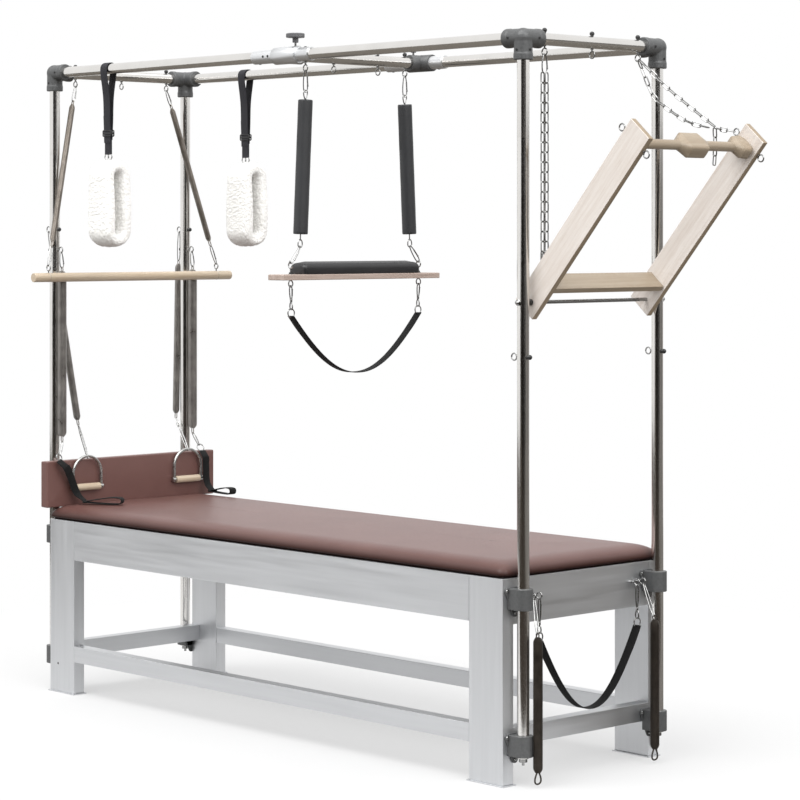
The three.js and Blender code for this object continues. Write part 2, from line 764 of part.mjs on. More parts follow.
// Trapeze: two springs in foam sleeves, the padded board on its eyebolts and the sling under it
const board_top = trapeze_board_low + trapeze_board_thick;
const board_eye_z = board_top + board_eye_lift;
const board_ring_low_z = trapeze_board_low - board_eye_drop;
const foam_low = foam_top - foam_length;
for (const [place, side] of [['front', -1], ['back', 1]]) {
  const rail_eye = vec(0, side * cross_eye_outer, rail_eye_z);
  const board_eye = vec(0, side * trapeze_bolt_y, board_eye_z);
  const top = vec(0, side * cross_eye_outer, foam_top);
  const low = vec(0, side * (cross_eye_outer + foam_spread), foam_low);
  const along = low.clone().sub(top).normalize();
  const link_top = vec(0, side * cross_eye_outer, foam_top + trapeze_link_high);
  const core_low = low.clone().addScaledVector(along, link_long);
  const link_low = core_low.clone().addScaledVector(along, link_long);
  const to_board = link_low.clone().sub(board_eye).normalize();
  node(`trapeze_spring_${place}`, joined([
    loop(hookOn(rail_eye, Y, Z.clone().negate()), link_top, snap_wide, Y),
    loop(link_top.clone().addScaledVector(Z, bearing_step), top.clone().addScaledVector(Z, wire_r), snap_wide, X),
    rod(top.clone().addScaledVector(along, -eye_wire), core_low, foam_bore / 2 - 2 * gap, 10),
    loop(core_low.clone().addScaledVector(along, -wire_r), link_low, link_wide, X),
    loop(toward(link_low, board_eye, -bearing_step), hookOn(board_eye, Y, to_board), snap_wide, Y),
  ]), bright_wire(), [crossbar_x, 0, 0]);
  node(`trapeze_foam_${place}`, joined([rod(top, low, foam_dia / 2)],
    [rod(top.clone().addScaledVector(along, -overrun), low.clone().addScaledVector(along, overrun), foam_bore / 2)]),
  black_foam(), [crossbar_x, 0, 0]);
}
{
  const board = span([-trapeze_board_width / 2, -trapeze_board_length / 2, trapeze_board_low],
    [trapeze_board_width / 2, trapeze_board_length / 2, board_top]);
  const bolts = [-1, 1].flatMap((side) => {
    const at = (z) => vec(0, side * trapeze_bolt_y, z);
    return [
      rod(at(board_ring_low_z + eye_r), at(board_eye_z - eye_r), eye_shank / 2, 6),
      ring(at(board_eye_z), eye_r, Y),
      ring(at(board_ring_low_z), eye_r, Y),
      rod(at(board_top - gap), at(board_top + board_nut_high), board_nut_dia / 2, 8),
    ];
  });
  node('trapeze_board', joined([board, ...bolts]), board_wood(), [crossbar_x, 0, 0]);
}
node('trapeze_pad', cushion(trapeze_pad_length, trapeze_board_width, trapeze_pad_thick - pad_crown, pad_round / 2,
  pad_crown, pad_crown / 2, pad_round / 2), black_vinyl(), [crossbar_x, 0, board_top + gap], Math.PI / 2);

// A hanging sling: a band that droops between two rings, each on a short link and a snap loop
function sling(eye_x, eye_y, eye_z, top_y, top_z, low_z, width) {
  const count = 10;
  const droop_share = 0.12;
  const steepness = 2.2;
  const points = Array.from({ length: count + 1 }, (_, i) => {
    const t = (2 * i) / count - 1;
    const y = top_y * t * (1 - droop_share * (1 - t * t));
    return vec(eye_x, y, low_z + (top_z - low_z) * Math.pow(Math.abs(t), steepness));
  });
  const pieces = [band(points, width, strap_thick, X)];
  for (const side of [-1, 1]) {
    const eye = vec(eye_x, side * eye_y, eye_z);
    const end = vec(eye_x, side * top_y, top_z + sling_ring_dia / 2 - strap_thick);
    const link = vec(eye_x, side * top_y, top_z + sling_snap_long);
    const down = link.clone().sub(eye).normalize();
    pieces.push(ring(end, sling_ring_dia / 2, X, Z, strap_ring_steps));
    pieces.push(loop(end.clone().addScaledVector(Z, sling_ring_dia / 2 - bearing_step), link, snap_wide, X));
    pieces.push(loop(toward(link, eye, -bearing_step), hookOn(eye, Y, down), snap_wide, Y));
  }
  return joined(pieces);
}
node('trapeze_sling', sling(0, trapeze_bolt_y, board_ring_low_z, trapeze_bolt_y - overrun, trapeze_sling_top,
  trapeze_sling_low, strap_width), webbing(), [crossbar_x, 0, 0]);
node('safety_sling', sling(bench_x + low_eye_reach, low_sling_eye_y, low_eye_z, low_sling_eye_y, low_sling_top,
  low_sling_low, strap_width), webbing());

// The upper snap loop, coil, lower link and lower snap loop of a spring
function hungSpring(rail_eye, top, low, diameter, upper_wide, lower_wide, lower_hook, lower_across) {
  const down = top.clone().sub(rail_eye).normalize();
  const coil_way = low.clone().sub(top).normalize();
  const link_top = low.clone().addScaledVector(coil_way, wire_r);
  const link_low = link_top.clone().addScaledVector(coil_way, link_long);
  const pieces = [
    loop(hookOn(rail_eye, Y, down), toward(top, rail_eye, wire_r), upper_wide, Y, wire_r, 0.7),
    coil(top, low, diameter),
    loop(link_top, link_low, link_wide, lower_across === X ? Y : X),
  ];
  const hook = lower_hook(link_low);
  pieces.push(loop(toward(link_low, hook, -bearing_step), hook, lower_wide, lower_across));
  return pieces;
}

// Roll-down bar and its two springs, leaning on the leg springs
const dowel_ring_lift = dowel_dia / 2 + dowel_eye_lift + eye_r;
{
  const bar_pieces = [rod(vec(0, -dowel_length / 2, 0), vec(0, dowel_length / 2, 0), dowel_dia / 2)];
  for (const side of [-1, 1]) {
    const at = (z) => vec(0, side * dowel_eye_y, z);
    bar_pieces.push(rod(at(0), at(dowel_ring_lift - eye_r), dowel_screw_dia / 2, 6));
    bar_pieces.push(ring(at(dowel_ring_lift), eye_r, Y));
  }
  node('roll_down_bar', joined(bar_pieces), pale_wood(), [dowel_x, 0, dowel_z]);
}
for (const [place, side] of [['front', -1], ['back', 1]]) {
  const rail_eye = vec(-post_x, side * eye_set_y, rail_eye_z);
  const bar_eye = vec(dowel_x, side * dowel_eye_y, dowel_z + dowel_ring_lift);
  const along = bar_eye.clone().sub(rail_eye).normalize();
  const at_height = (z) => rail_eye.clone().addScaledVector(along, (rail_eye.z - z) / -along.z);
  const hook = () => hookOn(bar_eye, Y, along.clone().negate());
  node(`roll_down_spring_${place}`, joined(hungSpring(rail_eye, at_height(roll_spring_top),
    at_height(roll_spring_low), roll_spring_dia, snap_wide, snap_wide, hook, Y)), dark_spring());
}

// Leg springs with their foot straps and arm springs with their handles, hung on the left posts
function footStrap(ring_at, normal, ring_low, junction, end) {
  const way = end.clone().sub(junction).setZ(0).normalize();
  const across = Z.clone().cross(way).normalize();
  const hang = (share, z) => vec(strap_hang_x + strap_thick, ring_at.y + (junction.y - ring_at.y) * share, z);
  const down = [ring_low, hang(0.35, ring_at.z - strap_width * 2), hang(0.75, junction.z + strap_width)];
  const along = (share, lift) => junction.clone().lerp(end, share).setZ(junction.z + lift * strap_fold_high);
  const lower = [along(0.1, -0.1), along(0.4, -0.2), along(0.8, -0.25)];
  const fold = [along(0.97, -0.15), along(1.03, 0.4), along(0.97, 0.95)];
  const upper = [along(0.7, 1), along(0.35, 0.6), along(0.05, 0.2)];
  const seam = strap_width / 4;
  return joined([
    band([...down, junction.clone()], strap_width, strap_thick, [Y, Y, Y, across]),
    band([junction.clone(), ...lower, ...fold, ...upper], strap_width, strap_thick, across),
    band([junction.clone().addScaledVector(way, -seam), junction.clone().addScaledVector(way, seam)],
      strap_width + 2 * gap, strap_thick * 2.5, across),
    ring(ring_at, strap_ring_dia / 2, normal, ring_at.clone().sub(ring_low), strap_ring_steps),
  ]);
}

for (const [place, side, ring_y, junction_y, end_y] of [
  ['front', -1, -strap_ring_front_y, -strap_junction_front_y, -strap_end_front_y],
  ['back', 1, strap_ring_back_y, strap_junction_back_y, strap_junction_back_y],
]) {
  const post_eye = vec(-post_x + eye_reach, side * post_y, leg_eye_z);
  const top = vec(leg_spring_x, side * post_y, leg_spring_top);
  const low = vec(leg_spring_x, side * post_y, leg_spring_low);
  const link_low = low.clone().addScaledVector(Z, -wire_r - link_long);
  const ring_at = vec(headboard_front + headboard_crown + wire_r + gap, ring_y,
    headboard_top + strap_ring_dia / 2);
  const up = link_low.clone().sub(ring_at).normalize();
  const normal = X.clone().addScaledVector(up, -X.dot(up)).normalize();
  const hook = () => hookOn(ring_at, normal, up, strap_ring_dia / 2);
  const ring_low = ring_at.clone().addScaledVector(up, -strap_ring_dia / 2);
  const lying = pad_top + pad_crown + strap_thick / 2 + gap + strap_fold_high / 4;
  node(`leg_spring_${place}`,
    joined(hungSpring(post_eye, top, low, leg_spring_dia, carabiner_width, snap_wide, hook, X)),
    dark_spring());
  node(`foot_strap_${place}`, footStrap(ring_at, normal, ring_low, vec(strap_hang_x + strap_width, junction_y, lying),
    vec(strap_end_x, end_y, lying)), webbing());
}

function handleFrame() {
  const half = handle_width / 2 - handle_rod / 2;
  const rise = handle_high - half;
  const points = [
    vec(0, -half, -handle_leg_drop),
    ...arc(vec(0, 0, rise), half, Y, Z, 0.5, 0, 6),
    vec(0, half, -handle_leg_drop),
  ];
  const boss = (side) => rod(vec(0, side * (half + handle_rod / 2 + overrun), 0),
    vec(0, side * (grip_length / 2 + gap), 0), grip_boss_dia / 2, 6);
  return joined([
    wire(points, handle_rod / 2, false, 5),
    rod(vec(0, -half, 0), vec(0, half, 0), grip_bolt_dia / 2, 6),
    boss(-1), boss(1),
  ]);
}

for (const [place, side, centre_y] of [['front', -1, handle_left_y], ['back', 1, handle_right_y]]) {
  const grip_centre = [handle_x, centre_y, handle_grip_z];
  const handle_top = vec(handle_x, centre_y, handle_grip_z + handle_high);
  const post_eye = vec(-post_x - eye_reach, side * post_y, arm_eye_z);
  const low = side < 0
    ? vec(-post_x + arm_spring_lean_x, -post_y + arm_spring_lean_y, arm_spring_low)
    : vec(-post_x - arm_spring_back_out, arm_spring_back_y, arm_spring_low);
  const way = low.clone().sub(post_eye).normalize();
  const top = post_eye.clone().addScaledVector(way, (post_eye.z - arm_spring_top) / -way.z);
  const hook = (from) => toward(handle_top, from, -handle_rod / 2 - wire_r - 6 * gap);
  node(`arm_spring_${place}`,
    joined(hungSpring(post_eye, top, low, arm_spring_dia, snap_wide, handle_snap_wide, hook, X)),
    bright_wire());
  node(`handle_frame_${place}`, handleFrame(), bright_wire(), grip_centre);
  node(`handle_grip_${place}`, joined(
    [rod(vec(0, -grip_length / 2, 0), vec(0, grip_length / 2, 0), grip_dia / 2, 16)],
    [rod(vec(0, -grip_length, 0), vec(0, grip_length, 0), boreRadius(grip_bolt_dia, grip_bore_sides), grip_bore_sides)],
  ), pale_wood(), grip_centre);
}

// Push-through bar: drawn upright about its pivot, then leaned out
const lean = THREE.MathUtils.degToRad(arm_lean);
const push_bar = new THREE.Group();
push_bar.position.set(post_x, 0, pivot_z);
push_bar.rotation.y = lean;
object.add(push_bar);
const across_low = pivot_across - arm_width;
const from_end = -pivot_up_arm;
function pushNode(name, geometry, material) {
  const mesh = new THREE.Mesh(geometry, material);
  mesh.name = name;
  push_bar.add(mesh);
}
for (const [place, side] of [['front', -1], ['back', 1]]) {
  const outer = side * arm_face_y;
  const inner = side * (arm_face_y - arm_thick);
  const low_y = Math.min(outer, inner);
  const board = span([across_low, low_y, from_end], [pivot_across, low_y + arm_thick, from_end + arm_length]);
  const mid_y = (outer + inner) / 2;
  const eye_height = from_end + arm_eye_along;
  const screw = (x, direction) => [
    rod(vec(x - direction * eye_shank, mid_y, eye_height), vec(x + direction * screw_lift, mid_y, eye_height),
      screw_dia / 2, 6),
    ring(vec(x + direction * (screw_lift + eye_r), mid_y, eye_height), eye_r, Y),
  ];
  const hole = rod(vec(0, low_y - overrun, 0), vec(0, low_y + arm_thick + overrun, 0),
    boreRadius(axle_dia, axle_sides), axle_sides);
  pushNode(`push_arm_${place}`, joined([board, ...screw(pivot_across, 1), ...screw(across_low, -1)], [hole]),
    pale_wood());
}
{
  const inner = arm_face_y - arm_thick - gap;
  const high = pivot_across - brace_inset;
  pushNode('push_brace', span([high - brace_width, -inner, from_end + brace_along],
    [high, inner, from_end + brace_along + brace_thick]), pale_wood());
  const handle_x_local = pivot_across - arm_width / 2;
  const handle_z = from_end + handle_along;
  const chamfered = (long, wide, deep) => {
    const half_w = wide / 2;
    const half_d = deep / 2;
    const c = block_chamfer;
    const end = (y, inset) => [
      vec(half_w - inset, y, -half_d + inset / 2), vec(half_w - inset, y, half_d - inset / 2),
      vec(-half_w + inset, y, half_d - inset / 2), vec(-half_w + inset, y, -half_d + inset / 2),
    ];
    const sections = [end(-long / 2, c), end(-long / 2 + c, 0), end(long / 2 - c, 0), end(long / 2, c)];
    return loft(sections.map((section) => section.reverse()));
  };
  const pieces = [rod(vec(0, -inner, 0), vec(0, inner, 0), handle_dowel_dia / 2, 10)];
  pieces.push(chamfered(block_length, block_wide, block_deep));
  for (const side of [-1, 1]) {
    const block = chamfered(end_block_length, block_wide, block_deep);
    block.translate(0, side * (inner - end_block_length / 2), 0);
    pieces.push(block);
  }
  const handle = joined(pieces);
  handle.translate(handle_x_local, 0, handle_z);
  pushNode('push_handle', handle, pale_wood());
}
{
  const out = post_y + tube_r + gap;
  const ends = [-1, 1].flatMap((side) => {
    const at = (distance) => vec(0, side * distance, 0);
    return [
      rod(at(out), at(out + axle_nut_long), axle_nut_dia / 2, 8, axle_nut_dia / 5),
      rod(at(arm_face_y + gap), at(post_y - tube_r - gap), axle_nut_dia / 2, 8),
    ];
  });
  const shaft = rod(vec(0, -out - overrun, 0), vec(0, out + overrun, 0), axle_dia / 2, axle_sides);
  node('push_axle', joined([shaft, ...ends]), bright_wire(),
    [post_x, 0, pivot_z]);
}

const push_bar_eye = vec(across_low - screw_lift - eye_r, arm_face_y - arm_thick / 2, from_end + arm_eye_along)
  .applyAxisAngle(Y, lean).add(push_bar.position);

// Sheepskin loops on their webbing straps, each strap looped over a long rail
function fleeceLoop() {
  const outline = (inset) => {
    const half_deep = fleece_depth / 2 - inset;
    const half_high = fleece_high / 2 - inset;
    return [
      ...arc(vec(0, 0, half_high - half_deep), half_deep, Y, Z, 0, 0.5, 8),
      ...arc(vec(0, 0, -(half_high - half_deep)), half_deep, Y, Z, 0.5, 1, 8),
    ];
  };
  const rows = 8;
  const centre = outline(fleece_thick / 2);
  const count = centre.length;
  const sections = centre.map((p, i) => {
    const before = centre[(i + count - 1) % count];
    const after = centre[(i + 1) % count];
    const along = after.clone().sub(before).normalize();
    const out = along.clone().cross(X).normalize();
    return Array.from({ length: rows }, (_, j) => {
      const turn = (2 * Math.PI * (j + 0.5)) / rows;
      const bulge = (value) => Math.sign(value) * Math.pow(Math.abs(value), fleece_squareness_share);
      return p.clone()
        .addScaledVector(X, (fleece_width / 2) * bulge(Math.cos(turn)))
        .addScaledVector(out, (fleece_thick / 2) * bulge(Math.sin(turn)));
    });
  });
  return loft(sections, true);
}

for (const [place, side, strap_off] of [['front', -1, fleece_front_off], ['back', 1, fleece_back_off]]) {
  const strap_x = strap_off - post_x;
  const y = side * post_y;
  const fleece = fleeceLoop();
  fleece.computeBoundingBox();
  const middle_z = fleece_low + fleece_high / 2;
  const top = middle_z + fleece.boundingBox.max.z;
  node(`fleece_loop_${place}`, fleece, sheepskin(), [strap_x, y, middle_z]);
  const clear = tube_r + 3 * gap + strap_thick / 2;
  const ring_z = top + eye_r + wire_r + gap - rail_height;
  const over = arc(vec(0, 0, 0), clear, Y, Z, 0.02, 0.48, 6);
  const meet = ring_z + strap_meet;
  const points = [
    vec(0, strap_meet_off, meet), vec(0, strap_run_off, meet * strap_waist_share), vec(0, clear, -clear), ...over,
    vec(0, -clear, -clear), vec(0, -strap_run_off, meet * strap_waist_share), vec(0, -strap_meet_off, meet),
  ];
  node(`loop_strap_${place}`, joined([
    band(points, loop_strap_width, strap_thick, X),
    span([-loop_strap_width / 2, -strap_tab_thick / 2, ring_z + eye_r - wire_r],
      [loop_strap_width / 2, strap_tab_thick / 2, meet + strap_thick / 2]),
    span([-buckle_wide / 2, -buckle_thick / 2, meet + buckle_lift],
      [buckle_wide / 2, buckle_thick / 2, meet + buckle_lift + buckle_high]),
    ring(vec(-loop_strap_width / 4, 0, ring_z), eye_r, Y),
    ring(vec(loop_strap_width / 4, 0, ring_z), eye_r, Y),
  ]), grey_webbing(), [strap_x, y, rail_height]);
}

// Chains: each link turned a quarter from the last and bearing on it
function chain(points, first_turned = false) {
  return points.slice(1).map((point, i) => {
    const along = point.clone().sub(points[i]).normalize();
    const side = Y.clone().addScaledVector(along, -Y.dot(along)).normalize();
    const other = along.clone().cross(side).normalize();
    return chainLink(points[i], point, (i % 2 === 0) === first_turned ? other : side);
  });
}

// One link between the middles of its two bearing points
function chainLink(from, to, across) {
  const along = to.clone().sub(from).normalize();
  const half_width = (link_inner_width + link_wire) / 2;
  const a = from.clone().addScaledVector(along, -link_bite);
  const b = to.clone().addScaledVector(along, link_bite);
  const at = (base, s) => base.clone().addScaledVector(across, s * half_width);
  const points = [at(a, 1), at(b, 1), at(b, -1), at(a, -1)];
  return wire(points, link_wire / 2, true, link_sides);
}

// Points spaced one link apart along a route
function spaced(route) {
  const curve = new THREE.CatmullRomCurve3(route, false, 'centripetal');
  const count = Math.max(2, Math.round(curve.getLength() / link_pitch));
  return curve.getSpacedPoints(count);
}

const link_hook_step = (wire_r + link_wire / 2) * hooked_share + 2 * gap;
{
  const eye = vec(0, -eye_set_y, rail_eye_z);
  const apart = link_inner_width / 2 + link_wire + gap;
  const hook_low = eye.z - front_hook_long;
  const strand = (side) => Array.from({ length: front_chain_links + 1 }, (_, i) =>
    vec(0, eye.y + side * apart, hook_low + link_wire / 2 - i * link_pitch));
  const foot = hook_low - front_chain_links * link_pitch;
  node('chain_front', joined([
    loop(hookOn(eye, Y, Z.clone().negate(), eye_r, link_hook_step), vec(0, eye.y, hook_low), 4 * apart, Y,
      link_wire / 2),
    ...chain(strand(-1), true),
    ...chain(strand(1), false),
    loop(vec(0, eye.y, foot + link_pitch), vec(0, eye.y, foot - link_pitch / 4), 3 * apart, Y, link_wire / 2),
  ]), bright_wire(), [post_x, 0, 0]);
}
{
  const eye = vec(post_x, eye_set_y, rail_eye_z);
  const arm_eye = push_bar_eye;
  const place = (shares) => arm_eye.clone().sub(eye).multiply(vec(...shares)).add(eye);
  const upper = [[0.308, 0.306, 0.404], [0.605, 0.612, 0.733], [0.779, 0.776, 0.917]].map(place);
  const lower = [[0.056, 0.061, 0.183], [0.157, 0.163, 0.492], [0.289, 0.286, 0.654], [0.507, 0.51, 0.846],
    [0.72, 0.714, 0.933]].map(place);
  const gather = place([0.782, 0.796, 0.942]);
  const tail = [gather, place([0.787, 0.796, 1.175]), place([0.776, 0.796, 1.412])];
  const strands = [upper, lower].map((points) => {
    const way = points[0].clone().sub(eye).normalize();
    const hook = hookOn(eye, Y, way, eye_r, link_hook_step);
    const first = hook.clone().addScaledVector(way, link_pitch);
    return [loop(hook, first, link_inner_width + link_wire, Y, link_wire / 2),
      ...chain(spaced([first, ...points]), true)];
  });
  const back = gather.clone().sub(arm_eye).normalize();
  const end = hookOn(arm_eye, Y, back, eye_r, link_hook_step);
  const last = toward(end, gather, link_pitch);
  node('chain_rear', joined([
    ...strands.flat(),
    ...chain(spaced(tail)),
    ...chain(spaced([gather, last]), true),
    loop(last, end, link_inner_width + link_wire, Y, link_wire / 2),
  ]), bright_wire());
}

// Spring set under the push-through end, hooked on eyes in the end apron and leaning on the posts
for (const [place, side, y] of [['front', -1, low_spring_front_y], ['back', 1, low_spring_back_y]]) {
  const eye = vec(bench_x + low_eye_reach, side * low_spring_eye_y, low_eye_z);
  const top = vec(low_spring_x, y, low_spring_top);
  const low = vec(low_spring_x, y, low_spring_low);
  const down = top.clone().sub(eye).normalize();
  node(`low_spring_${place}`, joined([
    loop(hookOn(eye, Y, down), toward(top, eye, wire_r), snap_wide, Y),
    coil(top, low, low_spring_dia),
    loop(low.clone().addScaledVector(Z, wire_r), low.clone().addScaledVector(Z, -low_loop_long), low_loop_wide, Y),
  ]), dark_spring());
}

// The origin goes to the floor under the middle of the whole object
const middle = new THREE.Box3().setFromObject(object, true).getCenter(vec(0, 0, 0)).setZ(0);
for (const child of object.children) child.position.sub(middle);

console.log(`least gap between the curls of a spring: ${least_gap.toFixed(1)} mm`);

export default object;
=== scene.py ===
"""Pilates trapeze table: the looks of every piece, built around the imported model.

Places and sizes are in millimetres from the floor under the middle of the bench, X along the
bench toward the push-through end. put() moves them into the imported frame, in metres.
"""

import math

import bmesh
import bpy
import numpy as np
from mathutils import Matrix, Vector


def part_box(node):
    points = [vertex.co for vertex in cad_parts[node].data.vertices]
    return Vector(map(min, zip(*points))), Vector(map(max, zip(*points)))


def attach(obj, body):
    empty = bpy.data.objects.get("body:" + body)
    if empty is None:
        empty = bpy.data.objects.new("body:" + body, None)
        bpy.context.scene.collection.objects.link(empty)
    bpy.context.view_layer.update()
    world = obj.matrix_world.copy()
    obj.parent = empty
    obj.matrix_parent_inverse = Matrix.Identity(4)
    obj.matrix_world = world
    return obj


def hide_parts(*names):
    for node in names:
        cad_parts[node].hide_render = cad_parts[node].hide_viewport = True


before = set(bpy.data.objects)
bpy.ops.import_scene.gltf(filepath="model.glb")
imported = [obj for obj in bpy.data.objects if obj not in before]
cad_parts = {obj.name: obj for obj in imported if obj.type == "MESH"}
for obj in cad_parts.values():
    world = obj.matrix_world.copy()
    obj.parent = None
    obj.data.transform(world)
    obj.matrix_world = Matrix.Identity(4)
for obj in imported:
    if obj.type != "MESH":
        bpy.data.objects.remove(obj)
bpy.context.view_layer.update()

MM = 0.001
BENCH_MIDDLE = (np.array(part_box("bench_pad")[0]) + np.array(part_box("bench_pad")[1])) / 2
SHIFT = np.array([BENCH_MIDDLE[0], 0.0, 0.0])
X, Y, Z = np.eye(3)

# Frame of tubes
POST_X, POST_Y, TUBE_R = 1191.0, 305.0, 19.0
RAIL_Z, POST_LOW = 2250.0, 88.0
BENCH_X, BENCH_Y, BENCH_TOP = 1152.0, 353.0, 625.0
EYE_R, EYE_WIRE, EYE_REACH = 10.5, 2.25, 38.0
RAIL_EYE_Z = RAIL_Z - EYE_REACH
CROSSBAR_X = 112.0
PIVOT_Z = 1455.0
LEAN = math.radians(41.2)
SMOOTH_SIDES = 48
SIDES = (("front", -1), ("back", 1))
ENDS = (("right", 1), ("left", -1))

# Heights of the bench's rails, gaps left between pieces, the eyebolts, and the webbing
APRON_LOW, STRETCHER_LOW, STRETCHER_TOP = 485, 118, 175
TOUCH, TUBE_END = 0.3, 24.3
SHANK_R, END_EYE_Y, TRAPEZE_EYE_Y = 3.0, 212, 227
WEB_WIDE, WEB_THICK = 32, 3


# Camera

PHOTO_WIDE, FOCAL_PIXELS, HORIZON_ROW = 800, 2611.02, 233.844
CAMERA_TURN = 46.6688

camera_data = bpy.data.cameras.new("camera")
camera = bpy.data.objects.new("camera", camera_data)
bpy.context.scene.collection.objects.link(camera)
bpy.context.scene.camera = camera
CAMERA_PLACE = np.array([6.636, -5.950, 1.661])
camera.location = CAMERA_PLACE + SHIFT
camera.rotation_euler = (math.radians(90), 0, math.radians(CAMERA_TURN))
camera_data.sensor_width = 36.0
camera_data.lens = FOCAL_PIXELS / PHOTO_WIDE * camera_data.sensor_width
camera_data.shift_y = (HORIZON_ROW - PHOTO_WIDE / 2) / PHOTO_WIDE
camera_data.clip_end = 60


# Surfaces

def vec(*values):
    """A point or a direction."""
    return np.array(values, float)


def unit(v):
    """Each row divided by its length."""
    return v / np.maximum(np.linalg.norm(v, axis=-1, keepdims=True), 1e-12)


def grid(rows, cols, wrap_rows=False, wrap_cols=True):
    """Quads of a grid of rows by cols points, row after row."""
    i, j = np.meshgrid(np.arange(rows - (not wrap_rows)), np.arange(cols - (not wrap_cols)), indexing="ij")
    ni, nj = (i + 1) % rows, (j + 1) % cols
    quads = np.stack([i * cols + j, i * cols + nj, ni * cols + nj, ni * cols + j], -1)
    return quads.reshape(-1, 4)


def carried(path, section, ref, closed=False):
    """A section carried along a path: point = path + s0 * side + s1 * up, where side is ref made
    square to the path and up is tangent x side. way holds the run along and the place across.
    Open ends get a fan of triangles each."""
    path = np.asarray(path, float)
    n = len(path)
    if closed:
        tangent = unit(np.roll(path, -1, 0) - np.roll(path, 1, 0))
        steps = np.linalg.norm(path - np.roll(path, 1, 0), axis=1)
        steps[0] = 0
    else:
        tangent = unit(np.gradient(path, axis=0))
        steps = np.r_[0, np.linalg.norm(np.diff(path, axis=0), axis=1)]
    ref = np.broadcast_to(np.asarray(ref, float), path.shape)
    side = unit(ref - (ref * tangent).sum(1, keepdims=True) * tangent)
    up = np.cross(tangent, side)
    section = np.asarray(section, float)
    section = np.broadcast_to(section, (n,) + section.shape[-2:])
    points = path[:, None] + section[..., :1] * side[:, None] + section[..., 1:2] * up[:, None]
    m = section.shape[1]
    along = np.cumsum(steps)
    way = np.stack([np.repeat(along[:, None], m, 1), section[..., 0], section[..., 1]], -1)
    quads = grid(n, m, closed)
    tris = np.zeros((0, 3), int)
    points, way = points.reshape(-1, 3), way.reshape(-1, 3)
    if not closed:
        k = len(points)
        j = np.arange(m)
        nj = (j + 1) % m
        last = (n - 1) * m
        points = np.vstack([points, points[:m].mean(0), points[last:last + m].mean(0)])
        way = np.vstack([way, way[:m].mean(0), way[last:last + m].mean(0)])
        tris = np.vstack([np.stack([np.full(m, k), nj, j], 1),
                          np.stack([np.full(m, k + 1), last + j, last + nj], 1)])
    return points, quads, tris, way


def circle(radius, sides):
    """Points round a circle in the section's plane."""
    turn = np.linspace(0, 2 * np.pi, sides, endpoint=False)
    return radius * np.stack([np.cos(turn), np.sin(turn)], 1)


def rounded_rectangle(wide, high, radius, steps=3):
    """Points round a rectangle with round corners, anticlockwise."""
    turn = np.linspace(0, np.pi / 2, steps + 1)
    corners = [(1, -1, -np.pi / 2), (1, 1, 0), (-1, 1, np.pi / 2), (-1, -1, np.pi)]
    return np.vstack([
        np.stack([sx * (wide / 2 - radius) + radius * np.cos(turn + start),
                  sy * (high / 2 - radius) + radius * np.sin(turn + start)], 1)
        for sx, sy, start in corners
    ])


def any_square(axis):
    """A direction that isn't along the axis."""
    return X if abs(axis[0]) < 0.8 * np.linalg.norm(axis) else Y


def turned(profile, centre, axis, sides=SMOOTH_SIDES):
    """A profile of (radius, height) pairs turned about an axis through centre."""
    profile = np.asarray(profile, float)
    axis = unit(np.asarray(axis, float))
    side = unit(any_square(axis) - (any_square(axis) @ axis) * axis)
    up = np.cross(axis, side)
    ring = circle(1, sides)
    radial = ring[:, :1] * side + ring[:, 1:] * up
    points = np.asarray(centre) + profile[:, None, 1:] * axis + profile[:, None, :1] * radial
    way = np.broadcast_to(profile[:, None, :], (len(profile), sides, 2))
    way = np.concatenate([way, np.zeros_like(way[..., :1])], -1)
    return points.reshape(-1, 3), grid(len(profile), sides), np.zeros((0, 3), int), way.reshape(-1, 3)


def rod(a, b, radius, sides=SMOOTH_SIDES, edge=0.6):
    """A round bar from a to b with eased edges."""
    a, b = np.asarray(a, float), np.asarray(b, float)
    length = np.linalg.norm(b - a)
    edge = min(edge, radius / 3, length / 3)
    profile = [(0, 0), (radius - edge, 0), (radius, edge), (radius, length - edge),
               (radius - edge, length), (0, length)]
    return turned(profile, a, b - a, sides)


def ball(centre, radius, squash=1.0, sides=24):
    """A ball: radius times sine across, squashed radius times cosine upward."""
    turn = np.linspace(0, np.pi, 13)
    profile = np.stack([radius * np.sin(turn), -radius * squash * np.cos(turn)], 1)
    return turned(profile, centre, Z, sides)


def hoop(centre, radius, normal, wire, steps=32, sides=10):
    """A ring of round wire: a circle carried round a circle."""
    normal = unit(np.asarray(normal, float))
    side = unit(any_square(normal) - (any_square(normal) @ normal) * normal)
    up = np.cross(normal, side)
    ring = circle(radius, steps)
    path = np.asarray(centre) + ring[:, :1] * side + ring[:, 1:] * up
    return carried(path, circle(wire, sides), normal, closed=True)


def pear(a, b, wide_a, wide_b, across, wire, steps=36, sides=8, fullness=0.75):
    """A closed wire link from a to b: half width times sine, kept full by the power."""
    a, b = np.asarray(a, float), np.asarray(b, float)
    along = unit(b - a)
    across = unit(across - (across @ along) * along)
    turn = np.linspace(0, 2 * np.pi, steps, endpoint=False)
    share = (1 - np.cos(turn)) / 2
    half = (wide_a + (wide_b - wide_a) * share) / 2
    side = np.sign(np.sin(turn)) * np.abs(np.sin(turn)) ** fullness * half
    path = a + share[:, None] * (b - a) + side[:, None] * across
    return carried(path, circle(wire, sides), np.cross(along, across), closed=True)


def snap_link(a, b, wide_a, wide_b, across, wire=2.0):
    """A pear-shaped snap link with its sprung gate along one side."""
    a, b = np.asarray(a, float), np.asarray(b, float)
    along = unit(b - a)
    across_square = unit(across - (across @ along) * along)
    width = lambda share: wide_a + (wide_b - wide_a) * share
    at = lambda share: a + share * (b - a) + across_square * width(share) / 2 * 0.97
    return [pear(a, b, wide_a, wide_b, across, wire), rod(at(0.3), at(0.72), wire * 1.25, 12),
            rod(at(0.69), at(0.75), wire * 1.6, 12)]


